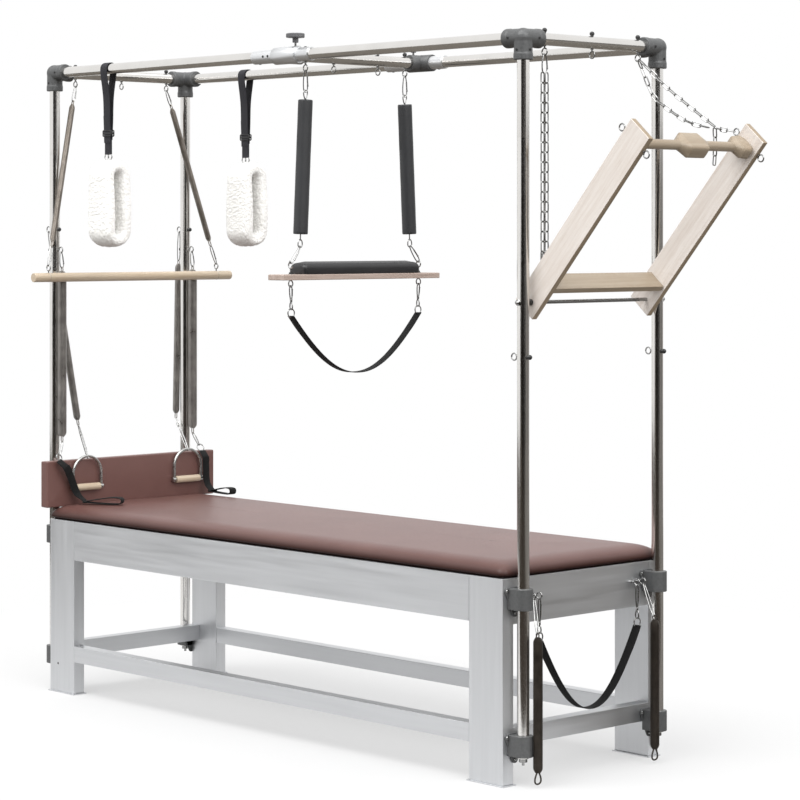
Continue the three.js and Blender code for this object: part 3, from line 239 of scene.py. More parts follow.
def slab(low, high):
    """A plain block between two corners, whose edges a bevel eases."""
    low, high = np.minimum(low, high), np.maximum(low, high)
    path = np.array([[0, 0, low[2]], [0, 0, high[2]]], float)
    section = np.array([[low[0], low[1]], [high[0], low[1]], [high[0], high[1]], [low[0], high[1]]], float)
    points, quads, _, _ = carried(path, section, X)
    keep = points[:8]
    faces = np.vstack([quads, [[3, 2, 1, 0], [4, 5, 6, 7]]])
    return keep, faces, np.zeros((0, 3), int), keep * 0


def plate(outline, origin, across, up, thick):
    """A flat outline in the plane of across and up, given a thickness along their normal."""
    normal = np.cross(across, up)
    path = np.array([origin, np.asarray(origin) + normal * thick], float)
    return carried(path, outline, across)


def strap(points, width, thick, across, count=60, ends_round=0.45):
    """Webbing: a flat section carried along a smooth curve through the points."""
    path = smooth(points, count)
    across = np.asarray(across, float)
    if across.ndim == 2:
        share = np.linspace(0, 1, len(across))
        at = np.linspace(0, 1, len(path))
        across = np.stack([np.interp(at, share, across[:, k]) for k in range(3)], 1)
    section = rounded_rectangle(width, thick, thick * ends_round, 2)
    return carried(path, section, across)


def smooth(points, count):
    """Evenly spaced points on a Catmull-Rom curve through the points."""
    points = np.asarray(points, float)
    p = np.vstack([2 * points[0] - points[1], points, 2 * points[-1] - points[-2]])
    t = np.linspace(0, 1, 24, endpoint=False)[:, None, None]
    a, b, c, d = p[:-3], p[1:-2], p[2:-1], p[3:]
    curve = 0.5 * (2 * b + (c - a) * t + (2 * a - 5 * b + 4 * c - d) * t ** 2
                   + (3 * b - a - 3 * c + d) * t ** 3)
    curve = np.vstack([curve.transpose(1, 0, 2).reshape(-1, 3), points[-1]])
    run = np.r_[0, np.cumsum(np.linalg.norm(np.diff(curve, axis=0), axis=1))]
    at = np.linspace(0, run[-1], count)
    return np.stack([np.interp(at, run, curve[:, k]) for k in range(3)], 1)


def coil(top, low, diameter, wire=3.4, per_turn=16, sides=6, taper=16.0):
    """A close-wound spring: a helix whose radius draws in over the taper at both ends."""
    top, low = np.asarray(top, float), np.asarray(low, float)
    length = np.linalg.norm(low - top)
    along = unit(low - top)
    turns = int(length / wire)
    s = np.linspace(0, 1, turns * per_turn + 1)
    run = s * length
    near = np.clip(np.minimum(run, length - run) / taper, 0, 1)
    radius = (diameter - wire) / 2 * (0.45 + 0.55 * np.sin(near * np.pi / 2))
    side = unit(any_square(along) - (any_square(along) @ along) * along)
    up = np.cross(along, side)
    turn = s * turns * 2 * np.pi
    outward = np.cos(turn)[:, None] * side + np.sin(turn)[:, None] * up
    path = top + run[:, None] * along + radius[:, None] * outward
    return carried(path, circle(wire / 2, sides), along)


def chain_link(a, b, across, wire=2.0, inner=9.0):
    """A long oval link whose ends bear on the two points: cosine along, sine across, both kept
    full by the power."""
    a, b = np.asarray(a, float), np.asarray(b, float)
    along = unit(b - a)
    across = unit(across - (across @ along) * along)
    half = (inner + 2 * wire) / 2
    length = np.linalg.norm(b - a) + 2 * wire * 0.7
    turn = np.linspace(0, 2 * np.pi, 18, endpoint=False)
    power = 0.45
    place = lambda value: np.sign(value) * np.abs(value) ** power
    middle = (a + b) / 2
    path = (middle + place(np.cos(turn))[:, None] * along * length / 2
            + place(np.sin(turn))[:, None] * across * half)
    return carried(path, circle(wire, 6), np.cross(along, across), closed=True)


def chain(points, first_flat):
    """Links between neighbouring points, each turned a quarter from the last."""
    links = []
    for k, (a, b) in enumerate(zip(points[:-1], points[1:])):
        along = unit(b - a)
        flat = unit(Y - (Y @ along) * along)
        links.append(chain_link(a, b, flat if (k % 2 == 0) == first_flat else np.cross(along, flat)))
    return links


def outline(half_long, half_wide, corner, steps):
    """Points round a rounded rectangle, anticlockwise, with extra points along its sides."""
    turn = np.linspace(0, np.pi / 2, steps)
    points = []
    for sx, sy, start in [(1, -1, -np.pi / 2), (1, 1, 0), (-1, 1, np.pi / 2), (-1, -1, np.pi)]:
        points.append(np.stack([sx * (half_long - corner) + corner * np.cos(turn + start),
                                sy * (half_wide - corner) + corner * np.sin(turn + start)], 1))
    sides = []
    count = 10
    for k in range(4):
        a, b = points[k][-1], points[(k + 1) % 4][0]
        share = np.linspace(0, 1, count + 2)[1:-1, None]
        sides.append(np.vstack([points[k], a + share * (b - a)]))
    return np.vstack(sides)


def cushion(long, wide, thick, round_r, crown, tuck, corner, waver=0.0, round_in=None):
    """A tight padded board: rounded sections tucked in below, full at the side, then a quarter
    ellipse round_r high and round_in deep up to a top that rises to its crown along the middle.
    Its sides draw in a little between the corners."""
    round_in = round_in or round_r
    rows = [(tuck * 2.2, 0.0), (tuck, 0.3)]
    for share in np.linspace(0.1, 1, 6):
        rows.append((tuck * (1 - math.sin(share * math.pi / 2)), (thick - round_r) * share))
    for share in np.linspace(0.1, 1, 10):
        angle = share * np.pi / 2
        rows.append((round_in * (1 - math.cos(angle)), thick - round_r + round_r * math.sin(angle)))
    inner = wide / 2 - round_in - 1
    for share in np.linspace(0.08, 1, 12):
        rows.append((round_in + inner * share, thick + crown * math.sin(share * math.pi / 2)))
    sections = []
    for inset, height in rows:
        half_long, half_wide = long / 2 - inset, wide / 2 - inset
        ring = outline(half_long, half_wide, min(corner, half_wide * 0.96), 8)
        pull = waver * np.cos(ring[:, 0] / (long / 2) * np.pi / 2)
        on_side = np.abs(ring[:, 1]) > half_wide * 0.9
        ring = np.stack([ring[:, 0], ring[:, 1] - np.sign(ring[:, 1]) * pull * on_side], 1)
        sections.append(np.column_stack([ring, np.full(len(ring), height)]))
    points = np.array(sections)
    n, m = points.shape[:2]
    flat = points.reshape(-1, 3)
    quads = grid(n, m)
    flat = np.vstack([flat, np.zeros((1, 3))])
    j = np.arange(m)
    bottom = np.stack([np.full(m, len(flat) - 1), (j + 1) % m, j], 1)
    top_row = (n - 1) * m
    half = m // 2
    k = np.arange(half)
    top = top_row + np.stack([k, k + 1, (m - 2 - k) % m, (m - 1 - k) % m], 1)
    return flat, np.vstack([quads, top[:-1]]), bottom, flat * 0


def moved(part, turn=None, by=(0, 0, 0)):
    """A part turned by a 3 x 3 matrix, then moved."""
    points, quads, tris, way = part
    points = points if turn is None else points @ np.asarray(turn, float).T
    return points + np.asarray(by, float), quads, tris, way


def about_y(angle):
    """Turn by an angle about Y, by the right-hand rule."""
    c, s = math.cos(angle), math.sin(angle)
    return np.array([[c, 0, s], [0, 1, 0], [-s, 0, c]])


# Pieces

def put(name, parts, material, body, node=None, bevel=0.0, sharp=35, level=0, edge=None):
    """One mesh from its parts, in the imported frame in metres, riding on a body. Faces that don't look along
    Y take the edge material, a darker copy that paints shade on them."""
    parts = parts if isinstance(parts, list) else [parts]
    start = np.cumsum([0] + [len(p[0]) for p in parts[:-1]])
    points = np.vstack([p[0] for p in parts]) * MM + SHIFT
    way = np.vstack([p[3] for p in parts]) * MM
    faces = []
    for first, (_, quads, tris, _) in zip(start, parts):
        faces += (quads + first).tolist() + (tris + first).tolist()
    mesh = bpy.data.meshes.new(name)
    mesh.from_pydata(points.tolist(), [], faces)
    attribute = mesh.attributes.new("way", "FLOAT_VECTOR", "POINT")
    attribute.data.foreach_set("vector", way.astype(np.float32).ravel())
    bm = bmesh.new()
    bm.from_mesh(mesh)
    bmesh.ops.remove_doubles(bm, verts=bm.verts, dist=2e-6)
    bm.to_mesh(mesh)
    bm.free()
    mesh.shade_smooth()
    mesh.set_sharp_from_angle(angle=math.radians(sharp))
    piece = bpy.data.objects.new(name, mesh)
    bpy.context.scene.collection.objects.link(piece)
    mesh.materials.append(material)
    # Painted shade: faces that don't look along Y take the darker edge copy of the material.
    if edge:
        mesh.materials.append(edge)
        looks = np.empty(len(mesh.polygons) * 3)
        mesh.polygons.foreach_get("normal", looks)
        mesh.polygons.foreach_set("material_index", (np.abs(looks[1::3]) < 0.5).astype(int))
    if bevel:
        ease = piece.modifiers.new("ease", "BEVEL")
        ease.width = bevel * MM
        ease.segments = 3
        ease.limit_method = "ANGLE"
        ease.angle_limit = math.radians(30)
        ease.harden_normals = True
    if level:
        finer = piece.modifiers.new("finer", "SUBSURF")
        finer.levels = finer.render_levels = level
    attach(piece, body)
    if node:
        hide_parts(*([node] if isinstance(node, str) else node))
    return piece


# Materials

def new_material(name):
    """A Principled material, with its nodes, links and shader."""
    material = bpy.data.materials.new(name)
    material.use_nodes = True
    nodes, links = material.node_tree.nodes, material.node_tree.links
    shader = nodes["Principled BSDF"]
    return material, nodes, links, shader


def coordinates(nodes, links, scale=(1, 1, 1), turn=(0, 0, 0), attribute=None):
    """Object coordinates, or a named attribute, through a mapping."""
    if attribute:
        source = nodes.new("ShaderNodeAttribute")
        source.attribute_name = attribute
        out = source.outputs["Vector"]
    else:
        source = nodes.new("ShaderNodeTexCoord")
        out = source.outputs["Object"]
    for kind, value in (("Rotation", turn), ("Scale", scale)):
        mapping = nodes.new("ShaderNodeMapping")
        mapping.inputs[kind].default_value = value
        links.new(out, mapping.inputs["Vector"])
        out = mapping.outputs["Vector"]
    return out


def noise(nodes, links, vector, scale, detail=4, rough=0.55):
    """Cloudy noise from 0 to 1."""
    node = nodes.new("ShaderNodeTexNoise")
    node.inputs["Scale"].default_value = scale
    node.inputs["Detail"].default_value = detail
    node.inputs["Roughness"].default_value = rough
    links.new(vector, node.inputs["Vector"])
    return node.outputs["Fac"]


def ramp(nodes, links, value, low, high, start=0.3, end=0.7):
    """A colour that runs from low to high as the value runs from start to end."""
    node = nodes.new("ShaderNodeValToRGB")
    node.color_ramp.elements[0].position = start
    node.color_ramp.elements[0].color = (*low, 1)
    node.color_ramp.elements[1].position = end
    node.color_ramp.elements[1].color = (*high, 1)
    links.new(value, node.inputs["Fac"])
    return node.outputs["Color"]


def spread(nodes, links, value, low, high):
    """A number from low to high as the value runs from 0.3 to 0.7."""
    node = nodes.new("ShaderNodeMapRange")
    node.inputs["From Min"].default_value = 0.3
    node.inputs["From Max"].default_value = 0.7
    node.inputs["To Min"].default_value = low
    node.inputs["To Max"].default_value = high
    links.new(value, node.inputs["Value"])
    return node.outputs["Result"]


def bump(nodes, links, shader, height, strength, distance):
    """Relief in a surface, its distance in metres."""
    node = nodes.new("ShaderNodeBump")
    node.inputs["Strength"].default_value = strength
    node.inputs["Distance"].default_value = distance
    links.new(height, node.inputs["Height"])
    links.new(node.outputs["Normal"], shader.inputs["Normal"])


def metal(name, low, high, rough, spread_by=0.05, grain=(60, 60, 60), streaks=0.0, metallic=1.0):
    """Metal whose colour and gloss drift along a grain, with fine streaks in relief."""
    material, nodes, links, shader = new_material(name)
    vector = coordinates(nodes, links, grain)
    drift = noise(nodes, links, vector, 1.0)
    links.new(ramp(nodes, links, drift, low, high), shader.inputs["Base Color"])
    links.new(spread(nodes, links, drift, rough - spread_by, rough + spread_by), shader.inputs["Roughness"])
    shader.inputs["Metallic"].default_value = metallic
    if streaks:
        fine = noise(nodes, links, coordinates(nodes, links, tuple(12 * g for g in grain)), 1.0, 3, 0.7)
        bump(nodes, links, shader, fine, streaks, 0.0004)
    return material


def wood(name, low, high, along, turn=(0, 0, 0), rough=0.42):
    """Fine straight grain: noise stretched along one axis, times darker pores, under a thin coat."""
    material, nodes, links, shader = new_material(name)
    stretch = [70.0, 70.0, 70.0]
    stretch[along] = 3.0
    vector = coordinates(nodes, links, tuple(stretch), turn)
    figure = noise(nodes, links, vector, 1.0, 6, 0.6)
    colour = ramp(nodes, links, figure, low, high, 0.32, 0.62)
    stretch = [900.0, 900.0, 900.0]
    stretch[along] = 20.0
    pores = noise(nodes, links, coordinates(nodes, links, tuple(stretch), turn), 1.0, 2)
    mix = nodes.new("ShaderNodeMix")
    mix.data_type = "RGBA"
    mix.blend_type = "MULTIPLY"
    mix.inputs["Factor"].default_value = 0.35
    links.new(colour, mix.inputs[6])
    links.new(ramp(nodes, links, pores, (0.72, 0.62, 0.52), (1, 1, 1), 0.3, 0.5), mix.inputs[7])
    links.new(mix.outputs[2], shader.inputs["Base Color"])
    links.new(spread(nodes, links, figure, rough - 0.06, rough + 0.08), shader.inputs["Roughness"])
    shader.inputs["Coat Weight"].default_value = 0.12
    shader.inputs["Coat Roughness"].default_value = 0.25
    bump(nodes, links, shader, pores, 0.12, 0.0003)
    return material


def vinyl(name, low, high, rough, cell=700.0, relief=0.22, side=None):
    """Upholstery vinyl: a cracked leather grain in relief and a slow drift of colour. Between the two heights
    of side it fades from painted shade, dark and dull, on the lower side of the cushion up to the full colour
    and gloss."""
    material, nodes, links, shader = new_material(name)
    vector = coordinates(nodes, links)
    slow = noise(nodes, links, vector, 7.0, 3)
    colour = ramp(nodes, links, slow, low, high)
    # Painted shade: below the upper height the colour darkens toward the cushion's lower side.
    if side:
        split = nodes.new("ShaderNodeSeparateXYZ")
        links.new(vector, split.inputs[0])
        height = nodes.new("ShaderNodeMapRange")
        height.interpolation_type = "SMOOTHSTEP"
        height.inputs["From Min"].default_value, height.inputs["From Max"].default_value = side
        links.new(split.outputs["Z"], height.inputs["Value"])
        mix = nodes.new("ShaderNodeMix")
        mix.data_type = "RGBA"
        mix.inputs[6].default_value = (*(0.2 * c for c in low), 1)
        links.new(height.outputs["Result"], mix.inputs["Factor"])
        links.new(colour, mix.inputs[7])
        colour = mix.outputs[2]
    links.new(colour, shader.inputs["Base Color"])
    cells = nodes.new("ShaderNodeTexVoronoi")
    cells.feature = "DISTANCE_TO_EDGE"
    cells.inputs["Scale"].default_value = cell
    links.new(vector, cells.inputs["Vector"])
    bump(nodes, links, shader, cells.outputs["Distance"], relief, 0.0006)
    fine = noise(nodes, links, vector, 260.0, 4)
    links.new(spread(nodes, links, fine, rough - 0.05, rough + 0.06), shader.inputs["Roughness"])
    shader.inputs["Specular IOR Level"].default_value = 0.58
    # The gloss dulls with the same painted shade.
    if side:
        gloss = nodes.new("ShaderNodeMath")
        gloss.operation = "MULTIPLY"
        gloss.inputs[1].default_value = 0.58
        links.new(height.outputs["Result"], gloss.inputs[0])
        links.new(gloss.outputs[0], shader.inputs["Specular IOR Level"])
    return material


def woven(name, low, high, rib=0.0016, yarn=0.0011):
    """Webbing: a wave of ribs along the strap times a wave of yarns across it, read from the
    strap's own way."""
    material, nodes, links, shader = new_material(name)
    vector = coordinates(nodes, links, attribute="way")
    heights = []
    for direction, period in (("X", rib), ("Y", yarn)):
        wave = nodes.new("ShaderNodeTexWave")
        wave.bands_direction = direction
        wave.inputs["Scale"].default_value = 2 * math.pi / 20 / period
        wave.inputs["Distortion"].default_value = 0.6
        links.new(vector, wave.inputs["Vector"])
        heights.append(wave.outputs["Fac"])
    both = nodes.new("ShaderNodeMath")
    both.operation = "MULTIPLY"
    links.new(heights[0], both.inputs[0])
    links.new(heights[1], both.inputs[1])
    links.new(ramp(nodes, links, both.outputs[0], low, high, 0.1, 0.8), shader.inputs["Base Color"])
    bump(nodes, links, shader, both.outputs[0], 0.5, 0.0005)
    shader.inputs["Roughness"].default_value = 0.78
    shader.inputs["Sheen Weight"].default_value = 0.03
    shader.inputs["Specular IOR Level"].default_value = 0.2
    return material


def plastic(name, low, high, rough=0.45, grain=180.0, relief=0.05):
    """Moulded plastic or rubber with a fine texture."""
    material, nodes, links, shader = new_material(name)
    fine = noise(nodes, links, coordinates(nodes, links), grain, 3)
    links.new(ramp(nodes, links, fine, low, high), shader.inputs["Base Color"])
    links.new(spread(nodes, links, fine, rough - 0.05, rough + 0.08), shader.inputs["Roughness"])
    bump(nodes, links, shader, fine, relief, 0.0005)
    return material


def pile(name):
    """Sheepskin: painted shade between the curls, darker and warmer where the pile is low and pale at the
    tips, read from the height kept in the piece's way.
    """
    material, nodes, links, shader = new_material(name)
    source = nodes.new("ShaderNodeAttribute")
    source.attribute_name = "way"
    split = nodes.new("ShaderNodeSeparateXYZ")
    links.new(source.outputs["Vector"], split.inputs[0])
    # Painted shade: the colour darkens from the curl tips down into the hollows.
    links.new(ramp(nodes, links, split.outputs["Z"], (0.84, 0.83, 0.80), (0.97, 0.97, 0.96), 0.0, 0.0014),
              shader.inputs["Base Color"])
    fine = noise(nodes, links, coordinates(nodes, links), 900.0, 5, 0.7)
    bump(nodes, links, shader, fine, 0.6, 0.0012)
    shader.inputs["Roughness"].default_value = 0.95
    shader.inputs["Sheen Weight"].default_value = 0.6
    return material


ALUMINIUM = dict(low=(0.64, 0.65, 0.665), high=(0.69, 0.70, 0.715), rough=0.42, streaks=0.035)
brushed_x = metal("aluminium_brushed_along", grain=(2.5, 60, 60), **ALUMINIUM)
brushed_y = metal("aluminium_brushed_across", grain=(60, 2.5, 60), **ALUMINIUM)
brushed_z = metal("aluminium_brushed_upright", grain=(60, 60, 2.5), **ALUMINIUM)
polished = metal("polished_tube", (0.74, 0.725, 0.70), (0.80, 0.785, 0.76), 0.15, 0.01, (8, 8, 8))
cast = metal("cast_fitting", (0.075, 0.077, 0.078), (0.097, 0.099, 0.100), 0.42, 0.05, (120, 120, 120),
             0.04, 0.2)
sleeve_metal = metal("sleeve_aluminium", (0.62, 0.63, 0.64), (0.72, 0.73, 0.74), 0.36, 0.05, (6, 90, 90),
                     0.08, 0.8)
bright = metal("plated_wire", (0.26, 0.26, 0.255), (0.42, 0.42, 0.415), 0.2, 0.06, (240, 240, 240))
satin_bow = metal("satin_handle_bow", (0.40, 0.40, 0.39), (0.52, 0.52, 0.51), 0.3, 0.06, (90, 90, 90))
spring_steel = metal("oiled_spring_wire", (0.22, 0.195, 0.17), (0.34, 0.305, 0.27), 0.36, 0.07, (25, 25, 25),
                     0, 0.85)
grey_spring = metal("grey_spring_wire", (0.28, 0.265, 0.25), (0.42, 0.40, 0.38), 0.34, 0.07, (25, 25, 25),
                    0, 0.85)
dark_sleeve = metal("dark_spring_wire", (0.030, 0.024, 0.019), (0.055, 0.045, 0.036), 0.4, 0.07,
                    (25, 25, 25), 0, 0.6)
black_cap = plastic("black_cap", (0.008, 0.008, 0.008), (0.02, 0.02, 0.02), 0.4)
black_foam = plastic("foam_sleeve", (0.018, 0.019, 0.021), (0.028, 0.029, 0.032), 0.46, 900.0, 0.12)
knob_plastic = plastic("knob_moulding", (0.085, 0.085, 0.09), (0.12, 0.12, 0.125), 0.4)
upholstery = vinyl("upholstery_vinyl", (0.118, 0.054, 0.046), (0.136, 0.065, 0.056), 0.38)
# The bench vinyl carries painted shade on the pad's lower side.
bench_vinyl = vinyl("bench_vinyl", (0.105, 0.047, 0.040), (0.122, 0.057, 0.049), 0.38, side=(0.624, 0.680))
black_vinyl = vinyl("black_vinyl", (0.008, 0.008, 0.009), (0.015, 0.015, 0.016), 0.42)
webbing = woven("black_webbing", (0.003, 0.003, 0.003), (0.012, 0.012, 0.0125))
grey_webbing = woven("grey_webbing", (0.017, 0.017, 0.020), (0.055, 0.055, 0.064))
wood_y = wood("maple_across", (0.245, 0.19, 0.13), (0.305, 0.25, 0.185), 1)
wood_round = wood("maple_dowel", (0.42, 0.335, 0.235), (0.50, 0.415, 0.315), 1)
# Painted light on the push-through arms: a pale lit copy of the maple for faces that look along Y, and a dark
# shaded copy for the others.
wood_painted_lit_face = wood("maple_face_leaned_painted_lit", (0.60, 0.54, 0.49), (0.70, 0.655, 0.615), 2, (0, -LEAN, 0))
wood_painted_shade_edge = wood("maple_edge_leaned_painted_shade", (0.22, 0.165, 0.105), (0.30, 0.235, 0.165), 2, (0, -LEAN, 0))
board_wood = wood("stained_board", (0.33, 0.255, 0.215), (0.44, 0.355, 0.31), 1)
black_board = plastic("black_board", (0.02, 0.018, 0.016), (0.04, 0.036, 0.032), 0.6)
sheepskin = pile("sheepskin")

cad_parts["pad_board"].data.materials.clear()
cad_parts["pad_board"].data.materials.append(black_board)


# Bench

LEG_WIDE, LEG_DEEP = 144.0, 46.0
RAIL_DEEP = 45.0
FOOT_THICK, FOOT_PROUD = 4, 6
LOW_EYE_Z, LOW_EYE_REACH = 566.0, 27.0

for end, sx in ENDS:
    x_out, x_in = sx * BENCH_X, sx * (BENCH_X - LEG_WIDE)
    legs, feet = [], []
    for sy in (-1, 1):
        legs.append(slab(vec(x_in, sy * (BENCH_Y - LEG_DEEP), FOOT_THICK),
                         vec(x_out, sy * BENCH_Y, BENCH_TOP)))
        feet.append(slab(vec(x_in - sx * FOOT_PROUD, sy * (BENCH_Y - LEG_DEEP - FOOT_PROUD), 0),
                         vec(x_out + sx * FOOT_PROUD, sy * (BENCH_Y + FOOT_PROUD), FOOT_THICK)))
    put(f"legs_{end}", legs, brushed_z, "base", f"end_frame_{end}", bevel=1.6)
    put(f"foot_plates_{end}", feet, brushed_x, "base", None, bevel=0.8)
    reach = BENCH_Y - LEG_DEEP + 0.4
    cross = [slab(vec(sx * (BENCH_X - RAIL_DEEP), -reach, low), vec(x_out - sx * 0.6, reach, high))
             for low, high in ((APRON_LOW, BENCH_TOP - 0.4), (STRETCHER_LOW, STRETCHER_TOP))]
    put(f"cross_rails_{end}", cross, brushed_y, "base", None, bevel=1.4)

for place, sy in SIDES:
    y_out, y_in = sy * (BENCH_Y - 0.5), sy * (BENCH_Y - RAIL_DEEP)
    half = BENCH_X - LEG_WIDE - 0.2
    apron = slab(vec(-half, y_in, APRON_LOW), vec(half, y_out, BENCH_TOP - 0.4))
    put(f"side_rail_{place}", apron, brushed_x, "base", f"side_apron_{place}", bevel=1.4)
    stretcher = slab(vec(-half, y_in, STRETCHER_LOW), vec(half, y_out, STRETCHER_TOP))
    put(f"low_rail_{place}", stretcher, brushed_x, "base", f"side_stretcher_{place}",
        bevel=1.6)

# A black bolt head low in the front of the left leg
BOLT_X, BOLT_Z = -1104, 104
put("leg_bolt", [rod(vec(BOLT_X, -BENCH_Y - 0.4, BOLT_Z), vec(BOLT_X, -BENCH_Y + 8, BOLT_Z), 4.5, 20)],
    black_cap, "base")

PAD_LOW, PAD_LONG, PAD_WIDE, PAD_THICK = 629.6, 2318, 718, 46
SKIRT = 4.3
pad_shape = cushion(PAD_LONG, PAD_WIDE, PAD_THICK + SKIRT, 38, 4, 17, 28, 1.5, 74)
# The pad cover takes the bench vinyl, with painted shade on its lower side.
pad = put("pad_cover", moved(pad_shape, by=(0, 0, PAD_LOW - SKIRT)), bench_vinyl, "base", "bench_pad",
          sharp=70, level=1)

HEAD_BACK, HEAD_LOW = -1159.7, 676.2
HEAD_WIDE, HEAD_HIGH, HEAD_THICK = 778, 168, 38
stand = np.array([[0, 0, 1], [1, 0, 0], [0, 1, 0]], float)
head = moved(cushion(HEAD_WIDE, HEAD_HIGH, HEAD_THICK, 5, 4, 1, 4), stand, (HEAD_BACK, 0, HEAD_LOW + 75))
seats = [slab(vec(-POST_X + TUBE_R + TOUCH, sy * POST_Y - TUBE_R, HEAD_LOW + 40),
              vec(HEAD_BACK + 3, sy * POST_Y + TUBE_R, HEAD_LOW + 118))
         for sy in (-1, 1)]
head_piece = put("headboard_cover", head, upholstery, "base", "headboard", sharp=70, level=1)
put("headboard_seats", seats, black_board, "base", bevel=1.0)


# Posts, clamps, corners and rails

CLAMP_LOWS, BAND_R, BAND_HIGH, FLANGE = (532, 92), 30, 64, 6
LEG_EYE_Z, ARM_EYE_Z = 1602, 1677
POST_EYES = {1: [(1291, -1)], -1: [(LEG_EYE_Z, 1), (ARM_EYE_Z, -1)]}
CAP = [(0, 0), (5, 0), (4.4, 2.5), (6.4, 4.2), (7.6, 7.5), (7.4, 11), (5.2, 14.2), (2.4, 15.6), (0, 15.8)]
SCREW_HEAD = [(0, 0), (5.4, 0), (5.4, 1.4), (4.2, 3.2), (2.1, 3.8), (1.9, 2.6), (0, 2.6)]


def eye_parts(centre, direction, normal=Y, reach=EYE_REACH, tube=TUBE_R):
    """An eyebolt through a tube: its eye and shank, and the domed cap on the other side."""
    centre, direction = np.asarray(centre, float), np.asarray(direction, float)
    at = lambda d: centre + direction * d
    steel = [
        rod(at(tube - 1), at(reach - EYE_R), SHANK_R, 16),
        rod(at(tube - 0.5), at(tube + 3.0), 5.5, 6, 0.5),
        hoop(at(reach), EYE_R, normal, EYE_WIRE),
    ]
    return steel, [turned(CAP, at(-tube + 0.4), -direction, 24)]


def clamp_parts(low, sx, post):
    """A saddle clamp: a band round the post, its flange with two ears and a tail, and the screws."""
    to_plate = POST_X - BENCH_X - TOUCH
    turn = np.linspace(-np.pi / 2, np.pi / 2, 25)
    outer = np.stack([BAND_R * np.cos(turn), BAND_R * np.sin(turn)], 1)
    saddle = np.vstack([[[-to_plate, -BAND_R]], outer, [[-to_plate, BAND_R]]])
    frame_of = lambda part: moved(part, np.diag([sx, sx, 1.0]), post)
    body = carried(np.array([[0, 0, low], [0, 0, low + BAND_HIGH]], float), saddle, X)
    ears = []
    for y, z, start, end in ((29, low + 54, -0.4, np.pi / 2), (-29, low + 54, np.pi / 2, np.pi + 0.4),
                             (0, low - 12, np.pi + 0.4, 2 * np.pi - 0.4)):
        angle = np.linspace(start, end, 9)
        ears.append(np.stack([y + 12 * np.cos(angle), z + 12 * np.sin(angle)], 1))
    flange = plate(np.vstack(ears), vec(-to_plate, 0, 0), Y, Z, FLANGE)
    steel = []
    for y, z in ((34, low + 56), (-34, low + 56), (0, low - 12)):
        steel.append(turned(SCREW_HEAD, vec(-to_plate + 5.5, y, z), X, 20))
    return [frame_of(body), frame_of(flange)], [frame_of(s) for s in steel]


def grommet(at, axis):
    """A small socket screw sunk in a fitting."""
    return turned([(0, 0), (4.2, 0), (4.4, 0.6), (3.6, 1.4), (1.8, 1.4), (1.6, 0.5), (0, 0.5)], at, axis, 16)


for place, sy in SIDES:
    for end, sx in ENDS:
        foot = vec(sx * POST_X, sy * POST_Y, 0)
        tube = [rod(foot + POST_LOW * Z, foot + (RAIL_Z - TUBE_END) * Z, TUBE_R)]
        steel = [rod(foot + 76 * Z, foot + 90 * Z, 13, 24), rod(foot + 66 * Z, foot + 78 * Z, 4.5, 6)]
        caps = []
        for height, direction in POST_EYES[sx]:
            eye, cap = eye_parts(foot + height * Z, X * direction)
            steel += eye
            caps += cap
        put(f"post_tube_{place}_{end}", tube, polished, "base", f"post_{place}_{end}")
        put(f"post_eyes_{place}_{end}", steel, bright, "base", None)
        put(f"post_caps_{place}_{end}", caps, black_cap, "base", None)
        bodies, screws = [], []
        for low in CLAMP_LOWS:
            body, screw = clamp_parts(low, sx, foot)
            bodies += body
            screws += screw
        put(f"clamps_{place}_{end}", bodies, cast, "base", None, bevel=1.8)
        put(f"clamp_screws_{place}_{end}", screws, bright, "base", None)

        centre = vec(sx * POST_X, sy * POST_Y, RAIL_Z)
        arms = [(-sx * X, 68), (-sy * Y, 71), (-Z, 67)]
        shell = [ball(centre, 29.6, sides=40)]
        for direction, length in arms:
            profile = [(0, -2), (28, -2), (28.4, length - 22), (29.8, length - 18), (29.8, length - 1.6),
                       (28.6, length), (0, length)]
            shell.append(turned(profile, centre, direction, 40))
        fitting = put(f"corner_casting_{place}_{end}", shell, cast, "base", f"corner_{place}_{end}")
        skin = fitting.modifiers.new("skin", "REMESH")
        skin.mode = "VOXEL"
        skin.voxel_size = 0.0016
        ease = fitting.modifiers.new("ease", "SMOOTH")
        ease.factor, ease.iterations = 0.5, 5
        dots = [grommet(centre + direction * (length - 30) + out * 28.6, out)
                for direction, length, out in ((-sx * X, 68, sy * Y), (-sy * Y, 71, sx * X),
                                               (-Z, 67, sy * Y), (-Z, 67, sx * X))]
        put(f"corner_screws_{place}_{end}", dots, black_cap, "base", None)

for place, sy in SIDES:
    half = POST_X - TUBE_END
    tube = rod(vec(-half, sy * POST_Y, RAIL_Z), vec(half, sy * POST_Y, RAIL_Z), TUBE_R)
    put(f"rail_tube_{place}", tube, polished, "base", f"long_rail_{place}")
for end, sx in ENDS:
    half = POST_Y - TUBE_END
    tube = rod(vec(sx * POST_X, -half, RAIL_Z), vec(sx * POST_X, half, RAIL_Z), TUBE_R)
    put(f"end_tube_{end}", tube, polished, "base", f"end_rail_{end}")
    steel, caps = [], []
    for y in (-END_EYE_Y, 0, END_EYE_Y):
        eye, cap = eye_parts(vec(sx * POST_X, y, RAIL_Z), -Z)
        steel += eye
        caps += cap
    put(f"end_eyes_{end}", steel, bright, "base", None)
    put(f"end_caps_{end}", caps, black_cap, "base", None)

apron_eyes = []
for y in (-250, -222, 222, 250):
    root, tip = vec(BENCH_X - 1, y, LOW_EYE_Z), vec(BENCH_X + LOW_EYE_REACH, y, LOW_EYE_Z)
    apron_eyes += [rod(root, tip - EYE_R * X, SHANK_R, 16), rod(root, root + 4 * X, 5.5, 6, 0.5),
                   hoop(tip, EYE_R, Y, EYE_WIRE)]
put("apron_eyes", apron_eyes, bright, "base", None)


# Sliding crossbar

KNOB_RIBS = 11
KNOB_ROWS = np.array([(0.82, 56.0), (0.95, 56.6), (1.0, 58.5), (1.0, 68.5), (0.95, 70.3), (0.86, 71.0),
                      (0.5, 71.0), (0.45, 70.2)])

